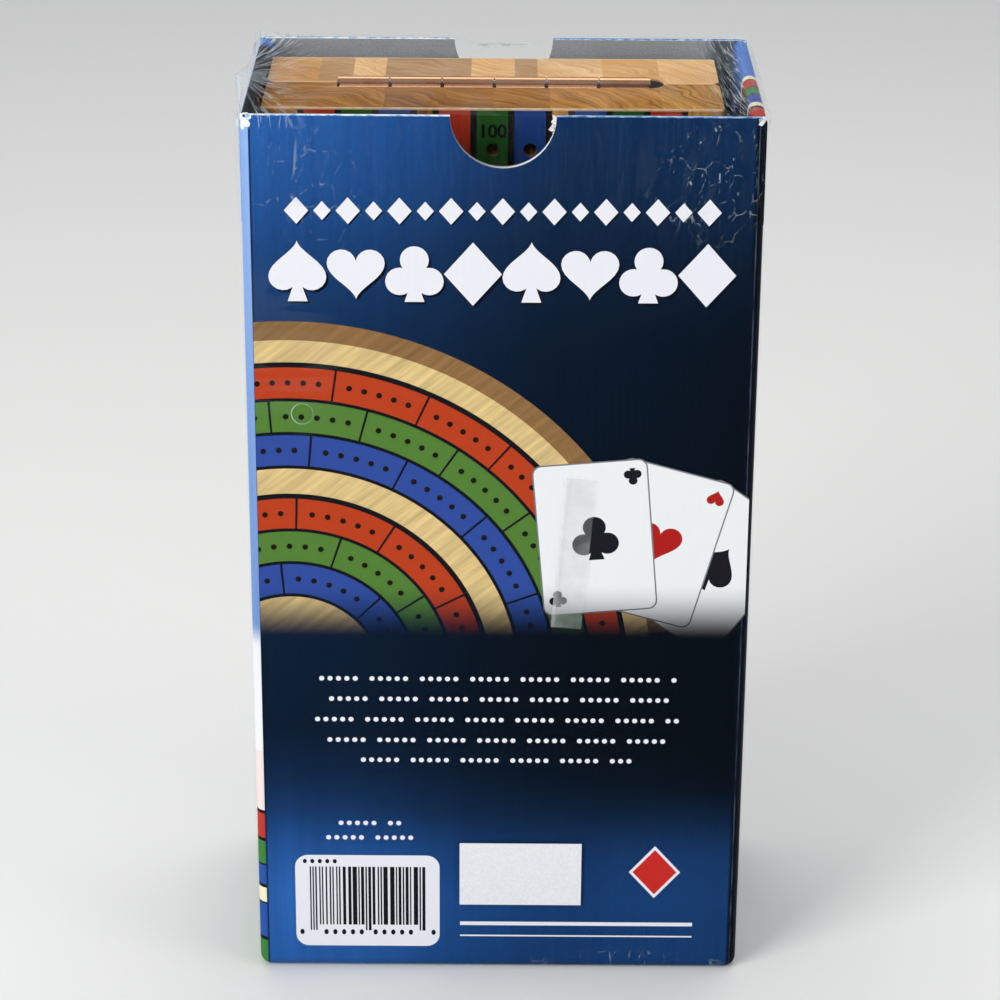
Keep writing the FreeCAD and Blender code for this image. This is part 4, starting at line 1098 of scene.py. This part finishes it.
# Where the film clings, its back is wet out in lens-shaped patches, which look slightly milky.
flat = add(tree, "Mapping", vector, Scale=(0.05, 0.2, 0.32))
flat_patch = add(tree, "TexNoise", flat, Scale=1.0, Detail=1.0)  # 20 mm, 3 mm high
upright = add(tree, "Mapping TEXTURE", vector, Scale=(2.4, 3.0, 11.0), Rotation=(0.0, 0.25, 0.0))
upright_patch = add(tree, "TexNoise", upright, Scale=1.0, Detail=1.5, Distortion=0.6)  # 2.4 mm, 11 mm high
long_way = add(tree, "Mapping", vector, Scale=(0.085, 0.04, 0.1))
board_patch = add(tree, "TexNoise", long_way, Scale=1.0, Detail=1.0, Distortion=0.4)  # 12 mm, 25 mm deep
left_spot = spot_mask(tree, vector, (-47.0, -HALF_DEPTH, 141.0), (17.0, 9.0, 24.0), 0.6)
right_spot = spot_mask(tree, vector, (36.0, -HALF_DEPTH, 178.0), (19.0, 9.0, 14.0), 0.2)
for where, patch, first, last, shine_share in ((left_spot, flat_patch, 0.46, 0.49, 0.016),
                                               (right_spot, upright_patch, 0.55, 0.61, 0.012),
                                               (on_top, board_patch, 0.50, 0.515, 0.03)):
    cling = add(tree, "*", where, add(tree, "MapRange", patch, first, last))
    marks.append((cling, shine_share))

# Fine bright creases: they spread from the pleats over the gaps, and run off the top corners.
fan_x = add(tree, "-", size_x, HALF_WIDTH + 2.8)
fan_angle = add(tree, "Math ARCTAN2", add(tree, "+", y, 1.5), fan_x)
left_half = add(tree, "<", x, 0.0)
right_half = add(tree, ">", x, 0.0)
swept = add(tree, "CombineXYZ", add(tree, "*", fan_angle, 7.0),
            add(tree, "*", x, 0.06), add(tree, "*", z, 0.05))
fan_noise = add(tree, "TexNoise", swept, Scale=1.0, Detail=3.0, Roughness=0.6)
fan_lines = add(tree, "ValToRGB", fan_noise,
                stops=((0.44, 0.0), (0.475, 1.0), (0.50, 0.0), (0.56, 0.0), (0.585, 0.8), (0.61, 0.0)))
beyond_board = add(tree, "MapRange", size_x, BOARD_HALF - 8.0, BOARD_HALF + 1.0)
marks.append((add(tree, "*", fan_lines, beyond_board, above, left_half), 0.55))
at_pleat = spot_mask(tree, vector, (-HALF_WIDTH - 2.0, -1.5, HEIGHT - 1.5), (8.0, 9.0, 7.0))
marks.append((add(tree, "*", at_pleat, add(tree, "MapRange", fan_noise, 0.46, 0.60)), 0.32))

# Others are drawn across the top and run down the panels.
drawn = add(tree, "Mapping", vector, Rotation=(0.0, 0.12, 0.14), Scale=(0.85, 0.07, 0.05))
drawn_noise = add(tree, "TexNoise", drawn, Scale=1.0, Detail=4.0, Roughness=0.6)  # 1.2 mm, 20 mm long
drawn_lines = add(tree, "ValToRGB", drawn_noise, stops=((0.47, 0.0), (0.495, 1.0), (0.52, 0.0)))
pulled = add(tree, "Mapping TEXTURE", vector, Rotation=(0.0, 0.0, 0.14), Scale=(1.2, 45.0, 20.0))
pulled_noise = add(tree, "TexNoise", pulled, Scale=1.0, Detail=3.0, Roughness=0.6)  # 1.2 mm, 45 mm long
pulled_lines = add(tree, "ValToRGB", pulled_noise,
                   stops=((0.42, 0.0), (0.445, 1.0), (0.47, 0.0), (0.54, 0.0), (0.56, 0.8), (0.58, 0.0)))
over_gap = add(tree, "MapRange", size_x, HEM_INSIDE - 0.5, HEM_INSIDE + 1.0, 1.0, 0.25)
side_draw = add(tree, "*", pulled_lines, beyond_board, on_top, right_half, over_gap)
marks.append((side_draw, 0.6))
upper = add(tree, "MapRange", z, HEIGHT - 50.0, HEIGHT - 4.0)
marks.append((add(tree, "*", drawn_lines, upper, on_panel), 0.016))

# Small glints stand at the right top corner.
slanted = add(tree, "Mapping", vector, Scale=(0.9, 0.9, 0.4), Rotation=(0.0, 0.5, 0.0))
glints = add(tree, "MapRange", add(tree, "TexNoise", slanted, Scale=1.0, Detail=2.0), 0.69, 0.73)
at_corner = spot_mask(tree, vector, (41.0, -HALF_DEPTH, 181.0), (16.0, 9.0, 17.0), 0.3)
marks.append((add(tree, "*", glints, at_corner), 0.35))

# It is crumpled in fine lines at both top corners and at the foot, painted as bright highlight lines.
bend = add(tree, "VectorMath SCALE", add(tree, "TexNoise", vector, Scale=0.3).outputs["Color"], 3.0)
bent = add(tree, "VectorMath ADD", vector, bend)
cells = add(tree, "Mapping TEXTURE", bent, Scale=(3.4, 5.0, 7.5), Rotation=(0.0, 0.3, 0.0))
cell_edge = add(tree, "TexVoronoi", cells, Scale=1.0, feature="DISTANCE_TO_EDGE")  # cells of 3 by 8 mm
broken = add(tree, "TexNoise", vector, Scale=0.8, Detail=2.0)  # 1.2 mm
crumple_highlights = add(tree, "*", add(tree, "MapRange", cell_edge, 0.004, 0.022, 1.0, 0.0),
                    add(tree, "MapRange", broken, 0.46, 0.62))
for place_x, place_z, reach_x, reach_z, core, shine_share in ((42.0, 177.0, 14.0, 15.0, 0.5, 0.30),
                                                              (-38.0, 176.0, 16.0, 17.0, 0.3, 0.20),
                                                              (27.0, 1.0, 26.0, 4.5, 0.5, 0.45)):
    where = spot_mask(tree, vector, (place_x, -HALF_DEPTH, place_z), (reach_x, 9.0, reach_z), core)
    marks.append((add(tree, "*", crumple_highlights, where), shine_share))

# The punched vent's rim catches the light.
VENT = (-40.1, -HALF_DEPTH, 128.9)
from_vent = add(tree, "VectorMath DISTANCE", vector, VENT)
in_vent = add(tree, "<", from_vent, 2.15)
vent_rim = inside(tree, add(tree, "-", from_vent, 2.2), 0.13)
lit_side = add(tree, "MapRange", x, VENT[0] - 2.0, VENT[0] + 1.5, 1.0, 0.3)
marks.append((add(tree, "*", vent_rim, lit_side), 0.5))

# A long nick at the left top corner is painted as a bright streak.
along_nick = add(tree, "Mapping TEXTURE", vector, Location=(-40.6, -HALF_DEPTH, 182.6),
                 Rotation=(0.0, 0.07, 0.0))
marks.append((spot_mask(tree, along_nick, (0.0, 0.0, 0.0), (0.4, 9.0, 5.0)), 0.17))

# Seen edge-on it shines most, less on the board than over the gaps.
facing = add(tree, "LayerWeight", Blend=0.5).outputs["Facing"]
grazing = add(tree, "Math POWER", facing, 7.0)
veil = add(tree, "MapRange", on_top, To_Min=0.45, To_Max=0.13)
past_board = add(tree, "MapRange", y, START_FACE, START_FACE + 0.6, 0.15, 1.0)
behind_panel = add(tree, ">", y, 1.0 - HALF_DEPTH)
thin = add(tree, "*", veil, past_board)
marks.append((grazing, add(tree, "Mix", behind_panel, veil, thin)))

parts = [add(tree, "*", mark, shine_share) for mark, shine_share in marks]
milky = add(tree, "+", *parts, 0.0015)
share = add(tree, "*", milky, add(tree, "-", 1.0, in_vent), use_clamp=True)
crinkle = add(tree, "Bump", Height=drawn_noise, Strength=0.35, Distance=0.0012)
clear = add(tree, "BsdfTransparent")
shine = add(tree, "BsdfPrincipled", Base_Color="#dbe8f1", Roughness=0.10, IOR=1.5, Normal=crinkle)
film_mix = add(tree, "MixShader", share, clear, shine)
add(tree, "OutputMaterial", film_mix)

wrap = new_piece("shrunk_film_bag", bm, film_sheet)
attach(wrap, "film")
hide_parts("shrink_film")
